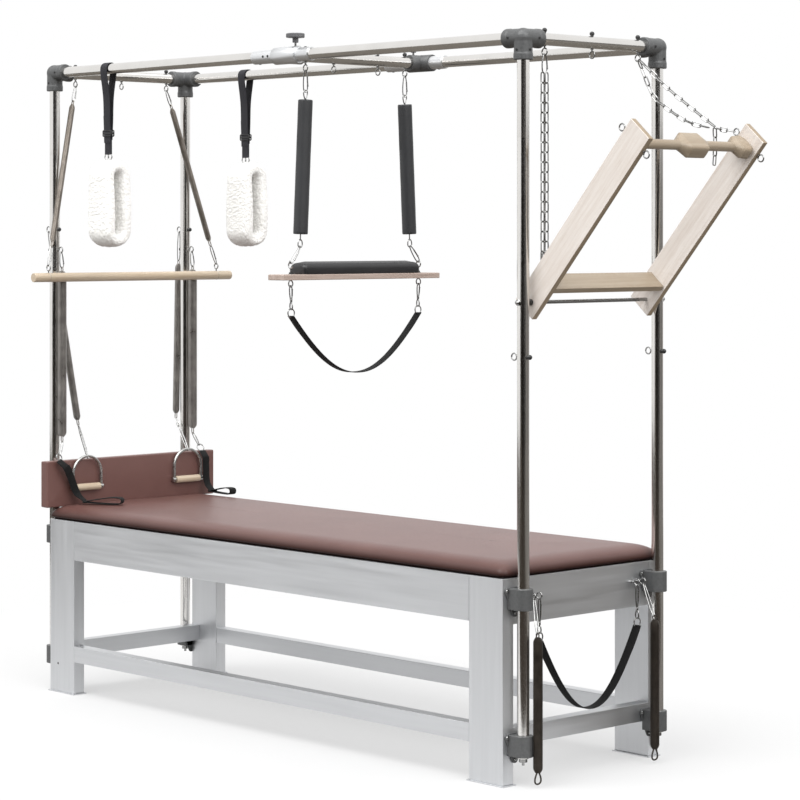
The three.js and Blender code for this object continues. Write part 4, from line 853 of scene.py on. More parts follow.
for place, side in SIDES:
    c = vec(CROSSBAR_X, side * POST_Y, RAIL_Z)
    lip = 0.8
    bore = TUBE_R + TOUCH
    sleeve = [turned([(bore, -165), (22.2, -165), (23, -165 + lip), (23, 120 - lip), (22.2, 120), (bore, 120),
                      (bore, -165)], c, X)]
    put(f"sleeve_{place}", sleeve, sleeve_metal, "crossbar", f"tee_sleeve_{place}")
    collar = [turned([(23.0, -58), (27.6, -58), (29, -56), (29, 56), (27.6, 58), (23.0, 58)], c, X),
              turned([(0, 10), (28, 10), (28, 56), (26.8, 58), (bore, 58), (bore, 12), (0, 12)], c, -side * Y)]
    put(f"tee_{place}", collar, cast if side > 0 else sleeve_metal, "crossbar", None)
    screws = [grommet(c + x * X + side * 22.9 * Y, side * Y) for x in (-100, -76)]
    screws += [grommet(c + x * X - 22.9 * Z, -Z) for x in (90, -140)]
    put(f"tee_screws_{place}", screws, black_cap, "crossbar", None)
    k = c - side * 39 * X
    turn = np.linspace(0, 2 * np.pi, KNOB_RIBS * 12, endpoint=False)
    reach = 31.2 - 1.3 * (1 - np.cos(turn * KNOB_RIBS))
    rim = np.stack([reach * np.cos(turn), reach * np.sin(turn)], 1)
    path = np.column_stack([np.zeros((len(KNOB_ROWS), 2)), KNOB_ROWS[:, 1]]) + k
    disc = [carried(path, KNOB_ROWS[:, :1, None] * rim[None], X),
            rod(k + 40 * Z, k + 56.6 * Z, 10, 32, 1.0)]
    put(f"knob_disc_{place}", disc, knob_plastic, f"knob_{place}", f"knob_{place}")
    screw = [rod(k + 19.5 * Z, k + 42 * Z, 4, 20), rod(k + 69.8 * Z, k + 71.4 * Z, 6, 6, 0.4)]
    put(f"knob_screw_{place}", screw, bright, f"knob_{place}", None)

half = POST_Y - TUBE_R - 1.2
tube = rod(vec(CROSSBAR_X, -half, RAIL_Z), vec(CROSSBAR_X, half, RAIL_Z), TUBE_R)
put("cross_tube_polished", tube, polished, "crossbar", "cross_tube")
steel, caps = [], []
for y in (-TRAPEZE_EYE_Y, -101, 101, TRAPEZE_EYE_Y):
    eye, cap = eye_parts(vec(CROSSBAR_X, y, RAIL_Z), -Z)
    steel += eye
    caps += cap
put("cross_eyes", steel, bright, "crossbar", None)
put("cross_caps", caps, black_cap, "crossbar", None)


# Hooks shared by the hanging sets

def hook_point(centre, toward, normal=Y, radius=EYE_R, step=EYE_WIRE * 1.9):
    """Where the end wire of a loop sits that hangs in a ring and leaves it in a direction."""
    toward = unit(np.asarray(toward, float))
    bearing = unit(toward - (toward @ normal) * normal)
    return np.asarray(centre) + bearing * radius - toward * step


def spring_hung(eye, top, low, diameter, upper_wide, lower_wide, hook, lower_across, wire=3.4):
    """The coil with its end loops, and the snap links above and below it."""
    eye, top, low = (np.asarray(p, float) for p in (eye, top, low))
    way = unit(low - top)
    down = unit(top - eye)
    start = top - way * 16
    link_low = low + way * 22
    coil_parts = [coil(top - way, low + way, diameter, wire),
                  pear(start, top + way * 6, 12, 9, X, 1.9), pear(low - way * 6, link_low, 9, 13, X, 1.9)]
    links = snap_link(hook_point(eye, down), start + way * 3.6, 10, upper_wide, Y, 1.9)
    links += snap_link(link_low - way * 3.6, hook, lower_wide, 10, lower_across, 1.9)
    return coil_parts, links


# Trapeze

BOARD_LOW, BOARD_TOP = 1508.0, 1527.0
BOARD_EYE_Z, BOARD_RING_Z = 1557.0, 1496.0
BOARD_HALF_WIDE, BOARD_HALF_LONG, BOLT_Y = 40, 357, 292.0
FOAM_TOP, FOAM_LOW = 2106.0, 1660.0
at_bar = CROSSBAR_X * X

for place, side in SIDES:
    rail_eye = at_bar + vec(0, side * TRAPEZE_EYE_Y, RAIL_EYE_Z)
    board_eye = at_bar + vec(0, side * BOLT_Y, BOARD_EYE_Z)
    top = at_bar + vec(0, side * TRAPEZE_EYE_Y, FOAM_TOP)
    low = at_bar + vec(0, side * 249, FOAM_LOW)
    along = unit(low - top)
    link_top = top + 30 * Z
    link_low = low + along * 44
    to_board = unit(link_low - board_eye)
    wires = [rod(top - along * 6, top + along * 40, 2.2, 16),
             rod(low - along * 40, low + along * 22, 2.2, 16),
             pear(link_top + 2 * Z, top + 2 * Z, 22, 9, Y, 2.0),
             pear(low + along * 18, link_low, 16, 21, Y, 2.0)]
    wires += snap_link(hook_point(rail_eye, -Z), link_top - 4 * Z, 11, 19, X * 0.3 + Y, 2.1)
    wires += snap_link(link_low - along * 4, hook_point(board_eye, to_board), 11, 19, Y, 2.1)
    put(f"trapeze_links_{place}", wires, bright, "trapeze_hang", f"trapeze_spring_{place}")
    length = np.linalg.norm(low - top)
    foam_profile = [(14.8, 2), (15.6, 0.6), (22.5, 0), (24.2, 1.6), (24.5, 6)]
    foam_profile += [(24.5 + 0.12 * math.sin(h / 17.0), h) for h in np.linspace(30, length - 30, 24)]
    foam_profile += [(24.5, length - 6), (24.2, length - 1.6), (22.5, length), (15.6, length - 0.6),
                     (14.8, length - 2), (14.8, 2)]
    put(f"foam_{place}", turned(foam_profile, top, along), black_foam, "trapeze_hang",
        f"trapeze_foam_{place}", sharp=60)

plank = slab(vec(CROSSBAR_X - BOARD_HALF_WIDE, -BOARD_HALF_LONG, BOARD_LOW),
             vec(CROSSBAR_X + BOARD_HALF_WIDE, BOARD_HALF_LONG, BOARD_TOP))
put("trapeze_plank", plank, board_wood, "trapeze_bar", "trapeze_board", bevel=3.0)
steel, nuts = [], []
for side in (-1, 1):
    c = at_bar + vec(0, side * BOLT_Y, 0)
    steel += [rod(c + (BOARD_TOP - 1) * Z, c + (BOARD_EYE_Z - EYE_R) * Z, SHANK_R, 16),
              rod(c + (BOARD_RING_Z + EYE_R) * Z, c + (BOARD_LOW + 1) * Z, SHANK_R, 16),
              hoop(c + BOARD_EYE_Z * Z, EYE_R, Y, EYE_WIRE), hoop(c + BOARD_RING_Z * Z, EYE_R, Y, EYE_WIRE),
              rod(c + BOARD_TOP * Z, c + (BOARD_TOP + 1.5) * Z, 10, 28, 0.4)]
    nuts += [rod(c + (BOARD_TOP + 1.4) * Z, c + (BOARD_TOP + 7) * Z, 6, 6, 0.8)]
put("trapeze_eyes", steel, bright, "trapeze_bar", None)
put("trapeze_nuts", nuts, black_cap, "trapeze_bar", None)
quarter = np.array([[0, -1, 0], [1, 0, 0], [0, 0, 1]], float)
seat = moved(cushion(530, 80, 38, 18, 4, 1.5, 14), quarter, (CROSSBAR_X, 0, BOARD_TOP + TOUCH))
seat_piece = put("trapeze_cushion", seat, black_vinyl, "trapeze_bar", "trapeze_pad",
                 sharp=70, level=1)


def sling_parts(x, eye_y, eye_z, end_y, end_z, low_z):
    """A drooping strap between two rings, each with its swivel snap hook. Its height rises from
    the lowest by a power of the share across."""
    t = np.linspace(-1, 1, 41)
    y = end_y * t * (1 - 0.12 * (1 - t * t))
    z = low_z + (end_z - low_z) * np.abs(t) ** 2.2
    path = np.column_stack([np.full_like(t, x), y, z])
    bands = [carried(path, rounded_rectangle(WEB_WIDE, WEB_THICK, 1.2, 2), X)]
    steel = []
    for side in (-1, 1):
        ring = vec(x, side * end_y, end_z + 11)
        eye = vec(x, side * eye_y, eye_z)
        link = vec(x, side * end_y, end_z + 60)
        down = unit(link - eye)
        steel += [hoop(ring, 14, X, 2.2), pear(ring + 11.5 * Z, link - 12 * Z, 15, 10, X, 2.2),
                  rod(link - 17 * Z, link - 5 * Z, 4.2, 16), ball(link - 5 * Z, 5.0, 0.7)]
        steel += snap_link(link - 8 * Z, hook_point(eye, down), 8, 14, Y, 2.1)
        tuck = path[0] if side < 0 else path[-1]
        inner = path[4] if side < 0 else path[-5]
        fold = smooth([tuck - unit(inner - tuck) * 2, (tuck + inner) / 2 + side * 2.4 * Y, inner], 12)
        bands.append(carried(fold, rounded_rectangle(32.4, 2.6, 1.1, 2), X))
    return bands, steel


for name, places in (
    ("trapeze_sling", (CROSSBAR_X, BOLT_Y, BOARD_RING_Z, BOLT_Y - 2, 1388, 1194)),
    ("safety_sling", (BENCH_X + LOW_EYE_REACH, 222, LOW_EYE_Z, 222, 430, 200)),
):
    bands, steel = sling_parts(*places)
    put(f"{name}_strap", bands, webbing, name, name)
    put(f"{name}_hooks", steel, bright, name, None)


# Roll-down bar

DOWEL_X, DOWEL_Z, DOWEL_EYE_Y = -1110.0, 1503.0, 391.0
DOWEL_R, DOWEL_HALF = 16.5, 457.5
DOWEL_RING = DOWEL_R + 8 + EYE_R
profile = [(0, -DOWEL_HALF), (15.2, -DOWEL_HALF), (16.3, -456.6), (DOWEL_R, -455.4)]
profile += [(DOWEL_R, h) for h in np.linspace(-440, 440, 12)]
profile += [(DOWEL_R, 455.4), (16.3, 456.6), (15.2, DOWEL_HALF), (0, DOWEL_HALF)]
dowel = turned(profile, vec(DOWEL_X, 0, DOWEL_Z), Y)
put("roll_down_dowel", dowel, wood_round, "roll_down", "roll_down_bar")
steel = []
for side in (-1, 1):
    c = vec(DOWEL_X, side * DOWEL_EYE_Y, DOWEL_Z)
    steel += [rod(c + 14 * Z, c + (DOWEL_RING - EYE_R) * Z, 2.3, 14),
              hoop(c + DOWEL_RING * Z, EYE_R, Y, EYE_WIRE), hoop(c, 16.7, Y, 0.5, 40, 6)]
put("roll_down_eyes", steel, bright, "roll_down", None)
for place, side in SIDES:
    eye = vec(-POST_X, side * END_EYE_Y, RAIL_EYE_Z)
    bar_eye = vec(DOWEL_X, side * DOWEL_EYE_Y, DOWEL_Z + DOWEL_RING)
    along = unit(bar_eye - eye)
    at_height = lambda z: eye + along * (eye[2] - z) / -along[2]
    coils, links = spring_hung(eye, at_height(2136), at_height(1634), 22, 15, 14,
                               hook_point(bar_eye, -along), Y, 2.8)
    put(f"roll_down_coil_{place}", coils, spring_steel, "roll_down", f"roll_down_spring_{place}")
    put(f"roll_down_links_{place}", links, bright, "roll_down", None)


# Leg springs and foot straps

HEAD_FRONT = HEAD_BACK + HEAD_THICK + 4
GRIP_R = 13
HANDLE_X = HEAD_FRONT + 13.3
STRAP_X = HANDLE_X + GRIP_R + WEB_THICK / 2 + TOUCH
PAD_TOP = 675.6 + 4
LYING = PAD_TOP + WEB_THICK / 2 + TOUCH + 4.5
LEG_SPRING_X, LEG_TOP, LEG_LOW = -1146, 1524, 922
FOOT_RING_R, FOOT_END_X = 14, -940

for place, side, ring_y, junction_y, end_y in (("front", -1, -340, -262, -190), ("back", 1, 318, 330, 330)):
    eye = vec(-POST_X + EYE_REACH, side * POST_Y, LEG_EYE_Z)
    top = vec(LEG_SPRING_X, side * POST_Y, LEG_TOP)
    low = vec(LEG_SPRING_X, side * POST_Y, LEG_LOW)
    link_low = low - vec(0, 0, 26)
    ring = vec(HEAD_FRONT + 2.55, ring_y, 834.2 + 14)
    up = unit(link_low - ring)
    normal = unit(X - (X @ up) * up)
    coils, links = spring_hung(eye, top, low, 34, 20, 16, hook_point(ring, up, normal, FOOT_RING_R), X)
    put(f"leg_coil_{place}", coils, grey_spring, "base", f"leg_spring_{place}")
    put(f"leg_links_{place}", links, bright, "base", None)
    ring_low = ring - up * FOOT_RING_R
    junction = vec(STRAP_X + 32, junction_y, LYING)
    end = vec(FOOT_END_X, end_y, LYING)
    way = unit((end - junction) * vec(1, 1, 0))
    across = np.cross(Z, way)
    hang = lambda share, z: vec(STRAP_X + 3, ring_y + (junction_y - ring_y) * share, z)
    lie = lambda share, lift: (junction + (end - junction) * share) * vec(1, 1, 0) + (LYING + lift * 18) * Z
    fall = [ring_low, hang(0.12, ring[2] - 34), hang(0.35, ring[2] - 64), hang(0.75, LYING + 32), junction]
    loop = [junction, lie(0.1, -0.1), lie(0.4, -0.2), lie(0.8, -0.25), lie(0.97, -0.15), lie(1.03, 0.4),
            lie(0.97, 0.95), lie(0.7, 1), lie(0.35, 0.6), lie(0.05, 0.2)]
    bands = [strap(fall, 30, WEB_THICK, [Y, Y, Y, Y, across]), strap(loop, WEB_WIDE, WEB_THICK, across, 90),
             strap([junction - way * 8, junction + way * 8], 32.6, 7, across, 6)]
    patch = [fall[1] + 2.2 * X, hang(0.28, ring[2] - 52) + 2.2 * X]
    bands.append(strap(patch, 30.6, WEB_THICK, Y, 8))
    put(f"foot_webbing_{place}", bands, webbing, f"foot_strap_{place}", f"foot_strap_{place}")
    put(f"foot_ring_{place}", hoop(ring, FOOT_RING_R, normal, 2.2), bright, f"foot_strap_{place}", None)


# Arm springs and handles

GRIP_Z, BOW_HIGH, BOW_HALF = 735.0, 112.0, 68 - 5
ARM_COIL_TOP, ARM_COIL_LOW = 1545, 976

for place, side, centre_y, low_x, low_y in (("front", -1, -222, -1177, -213), ("back", 1, 246, -1219, 282)):
    c = vec(HANDLE_X, centre_y, GRIP_Z)
    handle_top = c + BOW_HIGH * Z
    eye = vec(-POST_X - EYE_REACH, side * POST_Y, ARM_EYE_Z)
    low = vec(low_x, low_y, ARM_COIL_LOW)
    way = unit(low - eye)
    top = eye + way * (eye[2] - ARM_COIL_TOP) / -way[2]
    link_low = low + way * 26
    hook = handle_top + unit(link_low - handle_top) * -9.0
    coils, links = spring_hung(eye, top, low, 27, 15, 10, hook, X, 3.0)
    swivel = unit(hook - link_low)
    middle = link_low + swivel * 22
    links += [rod(middle, middle + swivel * 14, 4.4, 16), ball(middle, 5, 0.7)]
    put(f"arm_coil_{place}", coils, grey_spring, f"arm_spring_{place}", f"arm_spring_{place}")
    put(f"arm_links_{place}", links, bright, f"arm_spring_{place}", None)
    turn = np.linspace(0, np.pi, 25)
    bow = np.column_stack([np.zeros(25), BOW_HALF * np.cos(turn),
                           (BOW_HIGH - BOW_HALF) + BOW_HALF * np.sin(turn)])
    path = np.vstack([[0, BOW_HALF, -8], [0, BOW_HALF, 0], [0, BOW_HALF, 20], bow[1:-1],
                      [0, -BOW_HALF, 20], [0, -BOW_HALF, 0], [0, -BOW_HALF, -8]]) + c
    bend = smooth(path, 90)
    steel = [carried(bend, rounded_rectangle(10, 10, 4.2, 4), X)]
    steel += [rod(c + sy * 70.5 * Y, c + sy * 56.4 * Y, 8, 28) for sy in (-1, 1)]
    steel += [rod(c - 60 * Y, c + 60 * Y, 3.9, 16)]
    put(f"handle_bow_{place}", steel, satin_bow, f"handle_{place}", f"handle_frame_{place}")
    grip = [(4.4, -56), (11.6, -56), (12.6, -55), (GRIP_R, -53), (GRIP_R, -20), (GRIP_R, 20), (GRIP_R, 53),
            (12.6, 55), (11.6, 56), (4.4, 56), (4.4, -56)]
    put(f"handle_wood_{place}", turned(grip, c, Y), wood_round, f"grip_{place}", f"handle_grip_{place}")


# Push-through bar

ARM_FACE, ARM_THICK, ARM_LONG = 271.0, 20.0, 708.0
LOW_ACROSS, HIGH_ACROSS, FROM_END = 37.0 - 92.0, 37.0, -37.0
EYE_ALONG = FROM_END + 661
pivot = vec(POST_X, 0, PIVOT_Z)
leaned = lambda parts: [moved(part, about_y(LEAN), pivot) for part in parts]

for place, side in SIDES:
    outer, inner = side * ARM_FACE, side * (ARM_FACE - ARM_THICK)
    arm = [slab(vec(LOW_ACROSS, outer, FROM_END), vec(HIGH_ACROSS, inner, FROM_END + ARM_LONG))]
    # The arm's faces take the painted lit copy of the maple, and its edges the painted shade copy.
    put(f"arm_{place}", leaned(arm), wood_painted_lit_face, "push_through", f"push_arm_{place}", bevel=1.8,
        edge=wood_painted_shade_edge)
    mid = (outer + inner) / 2
    steel = []
    for x, direction in ((HIGH_ACROSS, 1), (LOW_ACROSS, -1)):
        at = lambda reach: vec(x + direction * reach, mid, EYE_ALONG)
        steel += [rod(at(-2), at(6), 2.4, 14), hoop(at(6 + EYE_R), EYE_R, Y, EYE_WIRE)]
    put(f"arm_eyes_{place}", leaned(steel), bright, "push_through", None)

inner = ARM_FACE - ARM_THICK - TOUCH
high = HIGH_ACROSS - 8
brace = slab(vec(high - 69, -inner, FROM_END + 98), vec(high, inner, FROM_END + 117))
put("brace_board", leaned([brace]), wood_y, "push_through", "push_brace", bevel=1.6)

HANDLE_SIDES = 40


def turned_block(long, wide, deep, fade, dowel=15.0):
    """Rows (place, half width, half depth, squareness) of the block in a handle's middle, which
    grows from the dowel."""
    neck, face = (wide / 2 * 0.72, deep / 2 * 0.86, 0.75), (wide / 2, deep / 2, 0.34)
    return [(-long / 2 - fade, dowel, dowel, 1.0), (-long / 2 + 2, *neck), (-long / 2 + 14, *face),
            (long / 2 - 14, *face), (long / 2 - 2, *neck), (long / 2 + fade, dowel, dowel, 1.0)]


rows = [(-inner, 22, 17, 0.5), (-inner + 22, 22, 17, 0.5), (-inner + 34, 15, 15, 1.0), (-120, 15, 15, 1.0)]
rows += turned_block(104, 76, 46, 12)
rows += [(120, 15, 15, 1.0), (inner - 62, 15, 15, 1.0), (inner - 44, 36, 21, 0.5), (inner - 14, 38, 22, 0.4),
         (inner, 30, 20, 0.5)]
rows = np.array(rows, float)
at = np.unique(np.r_[np.linspace(rows[0, 0], rows[-1, 0], 120), rows[:, 0]])
values = np.stack([np.interp(at, rows[:, 0], rows[:, k]) for k in (1, 2, 3)], 1)
turn = np.linspace(0, 2 * np.pi, HANDLE_SIDES, endpoint=False)
power = values[:, 2:3]
flat = lambda v: np.sign(v) * np.abs(v) ** power
section = np.stack([values[:, :1] * flat(np.cos(turn)[None]), values[:, 1:2] * flat(np.sin(turn)[None])], -1)
handle_x, handle_z = HIGH_ACROSS - 46, FROM_END + 652
path = np.column_stack([np.full(len(at), handle_x), at, np.full(len(at), handle_z)])
put("handle_bar", leaned([carried(path, section, X)]), wood_y, "push_through", "push_handle",
    sharp=30)

AXLE_NUT = [(0, 0), (9.5, 0), (10, 0.8), (10, 4), (7, 6), (5.5, 11), (3.6, 13.4), (0, 14)]
out = POST_Y + TUBE_R + TOUCH
axle = [rod(vec(POST_X, -out - 2, PIVOT_Z), vec(POST_X, out + 2, PIVOT_Z), 5.9, 24)]
spacers = []
for side in (-1, 1):
    at_y = lambda d: vec(POST_X, side * d, PIVOT_Z)
    axle.append(turned(AXLE_NUT, at_y(out), side * Y, 24))
    spacers.append(rod(at_y(ARM_FACE + TOUCH), at_y(POST_Y - TUBE_R - TOUCH), 10, 24))
put("axle_rod", axle, bright, "base", "push_axle")
put("axle_spacers", spacers, black_cap, "base", None)


# Fleece loops

FLEECE_DEPTH, FLEECE_HIGH, FLEECE_THICK, FLEECE_WIDE = 122.0, 316.0, 51.0, 138.0
FLEECE_Z = 1614 + 156
CURLS, CURL_R, CURL_HIGH = 5200, 3.6, 2.2


def fleece_parts(centre, seed):
    """A closed band of pile: an upright racetrack carried round with a soft section, and curls
    raised on it, each a dome on the nearest of many scattered centres."""
    rng = np.random.default_rng(seed)
    half = FLEECE_DEPTH / 2 - FLEECE_THICK / 2
    straight = FLEECE_HIGH / 2 - FLEECE_THICK / 2 - half
    n, m = 260, 110
    length = 2 * np.pi * half + 4 * straight
    s = np.linspace(0, length, n, endpoint=False)
    q = np.pi * half
    arc_top = s < q
    down = (s >= q) & (s < q + 2 * straight)
    arc_low = (s >= q + 2 * straight) & (s < 2 * q + 2 * straight)
    low_turn = np.pi + (s - q - 2 * straight) / half
    stretches = [arc_top, down, arc_low]
    y = np.select(stretches, [half * np.cos(s / half), np.full(n, -half), half * np.cos(low_turn)], half)
    z = np.select(stretches, [straight + half * np.sin(s / half), straight - (s - q),
                              -straight + half * np.sin(low_turn)], -straight + (s - 2 * q - 2 * straight))
    path = np.column_stack([np.zeros(n), y, z])
    turn = np.linspace(0, 2 * np.pi, m, endpoint=False)
    bulge = lambda v: np.sign(v) * np.abs(v) ** 0.72
    belly = 0.94 + 0.06 * np.cos((z + 40) / FLEECE_HIGH * np.pi * 2)[:, None]
    section = np.stack([(FLEECE_WIDE / 2 - 3.5) * bulge(np.cos(turn))[None] * belly,
                        np.broadcast_to((FLEECE_THICK / 2 - 3.0) * bulge(np.sin(turn))[None], (n, m))], -1)
    points, quads, tris, way = carried(path, section, X, closed=True)
    tangent = unit(np.roll(path, -1, 0) - np.roll(path, 1, 0))
    up = np.cross(tangent, np.broadcast_to(X, tangent.shape))
    normal = unit(np.cos(turn)[None, :, None] ** 3 * X + np.sin(turn)[None, :, None] * up[:, None])
    normal = normal.reshape(-1, 3)
    curls = points[rng.choice(len(points), CURLS, replace=False)] + rng.normal(0, 0.8, (CURLS, 3))
    nearest = np.full(len(points), 1e9)
    for start in range(0, len(curls), 200):
        gap = points[:, None] - curls[None, start:start + 200]
        nearest = np.minimum(nearest, (gap ** 2).sum(-1).min(1))
    height = CURL_HIGH * np.clip(1 - nearest / CURL_R ** 2, 0, 1) + rng.normal(0, 0.2, len(points))
    # The curl height, kept in way, sets the painted shade between the curls.
    way = np.column_stack([way[:, :2], height])
    return points + normal * height[:, None] + centre, quads, tris, way


for place, side, x, seed in (("front", -1, -866, 3), ("back", 1, -832, 8)):
    y = side * POST_Y
    body = f"fleece_{place}"
    fleece = put(f"fleece_{place}", fleece_parts(vec(x + 7, y, FLEECE_Z), seed), sheepskin, body,
                 f"fleece_loop_{place}", sharp=180)
    ring_z = 1922.8 + 13
    clear = TUBE_R + 0.9 + WEB_THICK / 2
    meet = ring_z + 60
    turn = np.linspace(0.02, 0.48, 9) * 2 * np.pi
    over = [vec(x, y + clear * math.cos(t), RAIL_Z + clear * math.sin(t)) for t in turn]
    span_z = lambda share: RAIL_Z + (meet - RAIL_Z) * share
    left = [vec(x, y + 3, meet), vec(x, y + 6, span_z(0.75)), vec(x, y + 9, span_z(0.4)),
            vec(x, y + clear - 1, RAIL_Z - clear)]
    right = [vec(x, 2 * y - p[1], p[2]) for p in left[::-1]]
    tail = [vec(x - 0.5, y - 4.2, meet - 10), vec(x, y - 6.5, meet + 50), vec(x, y - 8, meet + 86)]
    bands = [strap(left + over + right, 38, WEB_THICK, X, 110),
             strap([vec(x, y, ring_z + 9), vec(x, y, meet + 2)], 37, 8, X, 8),
             strap(tail, 37, WEB_THICK, X, 14)]
    put(f"fleece_webbing_{place}", bands, grey_webbing, body, f"loop_strap_{place}")
    c = vec(x, y, meet + 24)
    frame_bar = rounded_rectangle(46, 20, 3, 3)
    path = np.column_stack([c[0] + frame_bar[:, 0], np.full(len(frame_bar), c[1]), c[2] + frame_bar[:, 1]])
    wire = carried(path, circle(2.4, 8), Y, closed=True)
    buckle = [moved(wire, by=(0, dy, 0)) for dy in (-6.5, 6.5)]
    buckle.append(slab(c + vec(-21, -8, -3), c + vec(21, 8, 3)))
    put(f"fleece_buckle_{place}", buckle, black_cap, body, None)
    rings = [hoop(vec(x + dx, y, ring_z), EYE_R, Y, EYE_WIRE) for dx in (-9.5, 9.5)]
    put(f"fleece_rings_{place}", rings, bright, body, None)


# Chains

LINK, STRAND_LINKS, STRAND_APART, CHAIN_SEAT = 30.0, 19, 8.8, 3.8
eye = vec(POST_X, -END_EYE_Y, RAIL_EYE_Z)
hook_low = RAIL_EYE_Z - 66
links = []
for side in (-1, 1):
    strand = np.array([vec(POST_X, -END_EYE_Y + side * STRAND_APART, hook_low + 2 - i * LINK)
                       for i in range(STRAND_LINKS + 1)])
    links += chain(strand, side > 0)
foot = hook_low - STRAND_LINKS * LINK
links += snap_link(hook_point(eye, -Z, step=CHAIN_SEAT), vec(POST_X, -END_EYE_Y, hook_low), 16, 26, Y, 2.0)
links += [pear(vec(POST_X, -END_EYE_Y, foot + LINK), vec(POST_X, -END_EYE_Y, foot - 7), 22, 26, Y, 2.0)]
put("chain_links_front", links, bright, "base", "chain_front")

eye = vec(POST_X, END_EYE_Y, RAIL_EYE_Z)
arm_ring = moved((vec(LOW_ACROSS - 6 - EYE_R, ARM_FACE - ARM_THICK / 2, EYE_ALONG)[None],) + (None,) * 3,
                 about_y(LEAN), pivot)[0][0]
span_of = lambda shares: eye + (arm_ring - eye) * np.array(shares)
upper = [span_of(p) for p in ((0.308, 0.306, 0.404), (0.605, 0.612, 0.733), (0.779, 0.776, 0.917))]
lower = [span_of(p) for p in ((0.056, 0.061, 0.183), (0.157, 0.163, 0.492), (0.289, 0.286, 0.654),
                              (0.507, 0.51, 0.846), (0.72, 0.714, 0.933))]
gather = span_of((0.782, 0.796, 0.942))
links = []
for route in (upper, lower):
    way = unit(route[0] - eye)
    first = hook_point(eye, way, step=CHAIN_SEAT)
    second = first + way * LINK
    points = [second] + route
    count = max(2, round(np.linalg.norm(np.diff(np.array(points), axis=0), axis=1).sum() / LINK)) + 1
    links += [pear(first, second, 10, 13, Y, 2.0)] + chain(smooth(points, count), True)
tail = [gather, span_of((0.787, 0.796, 1.175)), span_of((0.776, 0.796, 1.412))]
links += chain(smooth(tail, 5), False)
back = unit(gather - arm_ring)
end = hook_point(arm_ring, back, step=CHAIN_SEAT)
last = end + unit(gather - end) * LINK
links += chain(smooth([gather, last], max(3, round(np.linalg.norm(gather - last) / LINK) + 1)), True)
links += [pear(last, end, 13, 10, Y, 2.0)]
put("chain_links_rear", links, bright, "base", "chain_rear")


# Springs under the push-through end

LOW_SPRING_X, LOW_COIL_TOP, LOW_COIL_LOW = 1229, 452, 45

for place, side, y in (("front", -1, -281), ("back", 1, 249)):
    eye = vec(BENCH_X + LOW_EYE_REACH, side * 250, LOW_EYE_Z)
    top, low = vec(LOW_SPRING_X, y, LOW_COIL_TOP), vec(LOW_SPRING_X, y, LOW_COIL_LOW)
    down = unit(top - eye)
    coils = [coil(top, low, 30, 3.4), pear(low + 5 * Z, low - 33 * Z, 11, 36, Y, 2.7, fullness=0.9),
             pear(top + unit(eye - top) * 14, top - 5 * Z, 12, 9, X, 1.9)]
    links = snap_link(hook_point(eye, down), top + unit(eye - top) * 10, 10, 15, Y, 2.0)
    put(f"low_coil_{place}", coils, dark_sleeve, f"low_spring_{place}", f"low_spring_{place}")
    put(f"low_links_{place}", links, bright, f"low_spring_{place}", None)


# Floor, light and studio cards

def stage_plane(name, corners, material):
    """A flat stage piece, which isn't part of the object."""
    mesh = bpy.data.meshes.new(name)
    mesh.from_pydata([tuple(c) for c in corners], [], [(0, 1, 2, 3)])
    plane = bpy.data.objects.new(name, mesh)
    bpy.context.scene.collection.objects.link(plane)
    mesh.materials.append(material)
    return plane


def to_camera_or_glossy(nodes, links):
    """1 for camera, glossy and transmission rays, 0 for the rays that light the object."""
    rays = nodes.new("ShaderNodeLightPath")
    total = rays.outputs["Is Camera Ray"]
    for kind in ("Is Glossy Ray", "Is Transmission Ray"):
        either = nodes.new("ShaderNodeMath")
        either.operation = "MAXIMUM"
        links.new(total, either.inputs[0])
        links.new(rays.outputs[kind], either.inputs[1])
        total = either.outputs[0]
    return total


floor_material, nodes, links, shader = new_material("floor_white")
shader.inputs["Roughness"].default_value = 0.9
shader.inputs["Specular IOR Level"].default_value = 0.1
white = nodes.new("ShaderNodeEmission")
white.inputs["Color"].default_value = (1, 1, 1, 1)
fade = nodes.new("ShaderNodeVectorMath")
fade.operation = "LENGTH"
place = nodes.new("ShaderNodeTexCoord")
links.new(place.outputs["Object"], fade.inputs[0])
amount = nodes.new("ShaderNodeMapRange")
amount.inputs["From Min"].default_value = 1.2
amount.inputs["From Max"].default_value = 3.2
amount.inputs["To Min"].default_value = 0.5
amount.inputs["To Max"].default_value = 1.0
links.new(fade.outputs["Value"], amount.inputs["Value"])
shown = to_camera_or_glossy(nodes, links)
tone = nodes.new("ShaderNodeMix")
tone.data_type = "RGBA"
tone.inputs[6].default_value = (0.15, 0.14, 0.13, 1)
tone.inputs[7].default_value = (0.54, 0.54, 0.54, 1)
links.new(shown, tone.inputs["Factor"])
links.new(tone.outputs[2], shader.inputs["Base Color"])
seen = nodes.new("ShaderNodeMath")
seen.operation = "MULTIPLY"
links.new(amount.outputs["Result"], seen.inputs[0])
links.new(shown, seen.inputs[1])
mixed = nodes.new("ShaderNodeMixShader")
links.new(seen.outputs[0], mixed.inputs["Fac"])
links.new(shader.outputs[0], mixed.inputs[1])
links.new(white.outputs[0], mixed.inputs[2])
links.new(mixed.outputs[0], nodes["Material Output"].inputs["Surface"])
FLOOR_HALF = 14.0
stage_plane("floor", [(-FLOOR_HALF, -FLOOR_HALF, 0), (FLOOR_HALF, -FLOOR_HALF, 0),
                      (FLOOR_HALF, FLOOR_HALF, 0), (-FLOOR_HALF, FLOOR_HALF, 0)], floor_material)

toward = unit(vec(CAMERA_PLACE[0], CAMERA_PLACE[1], 0))
aside = vec(-toward[1], toward[0], 0)


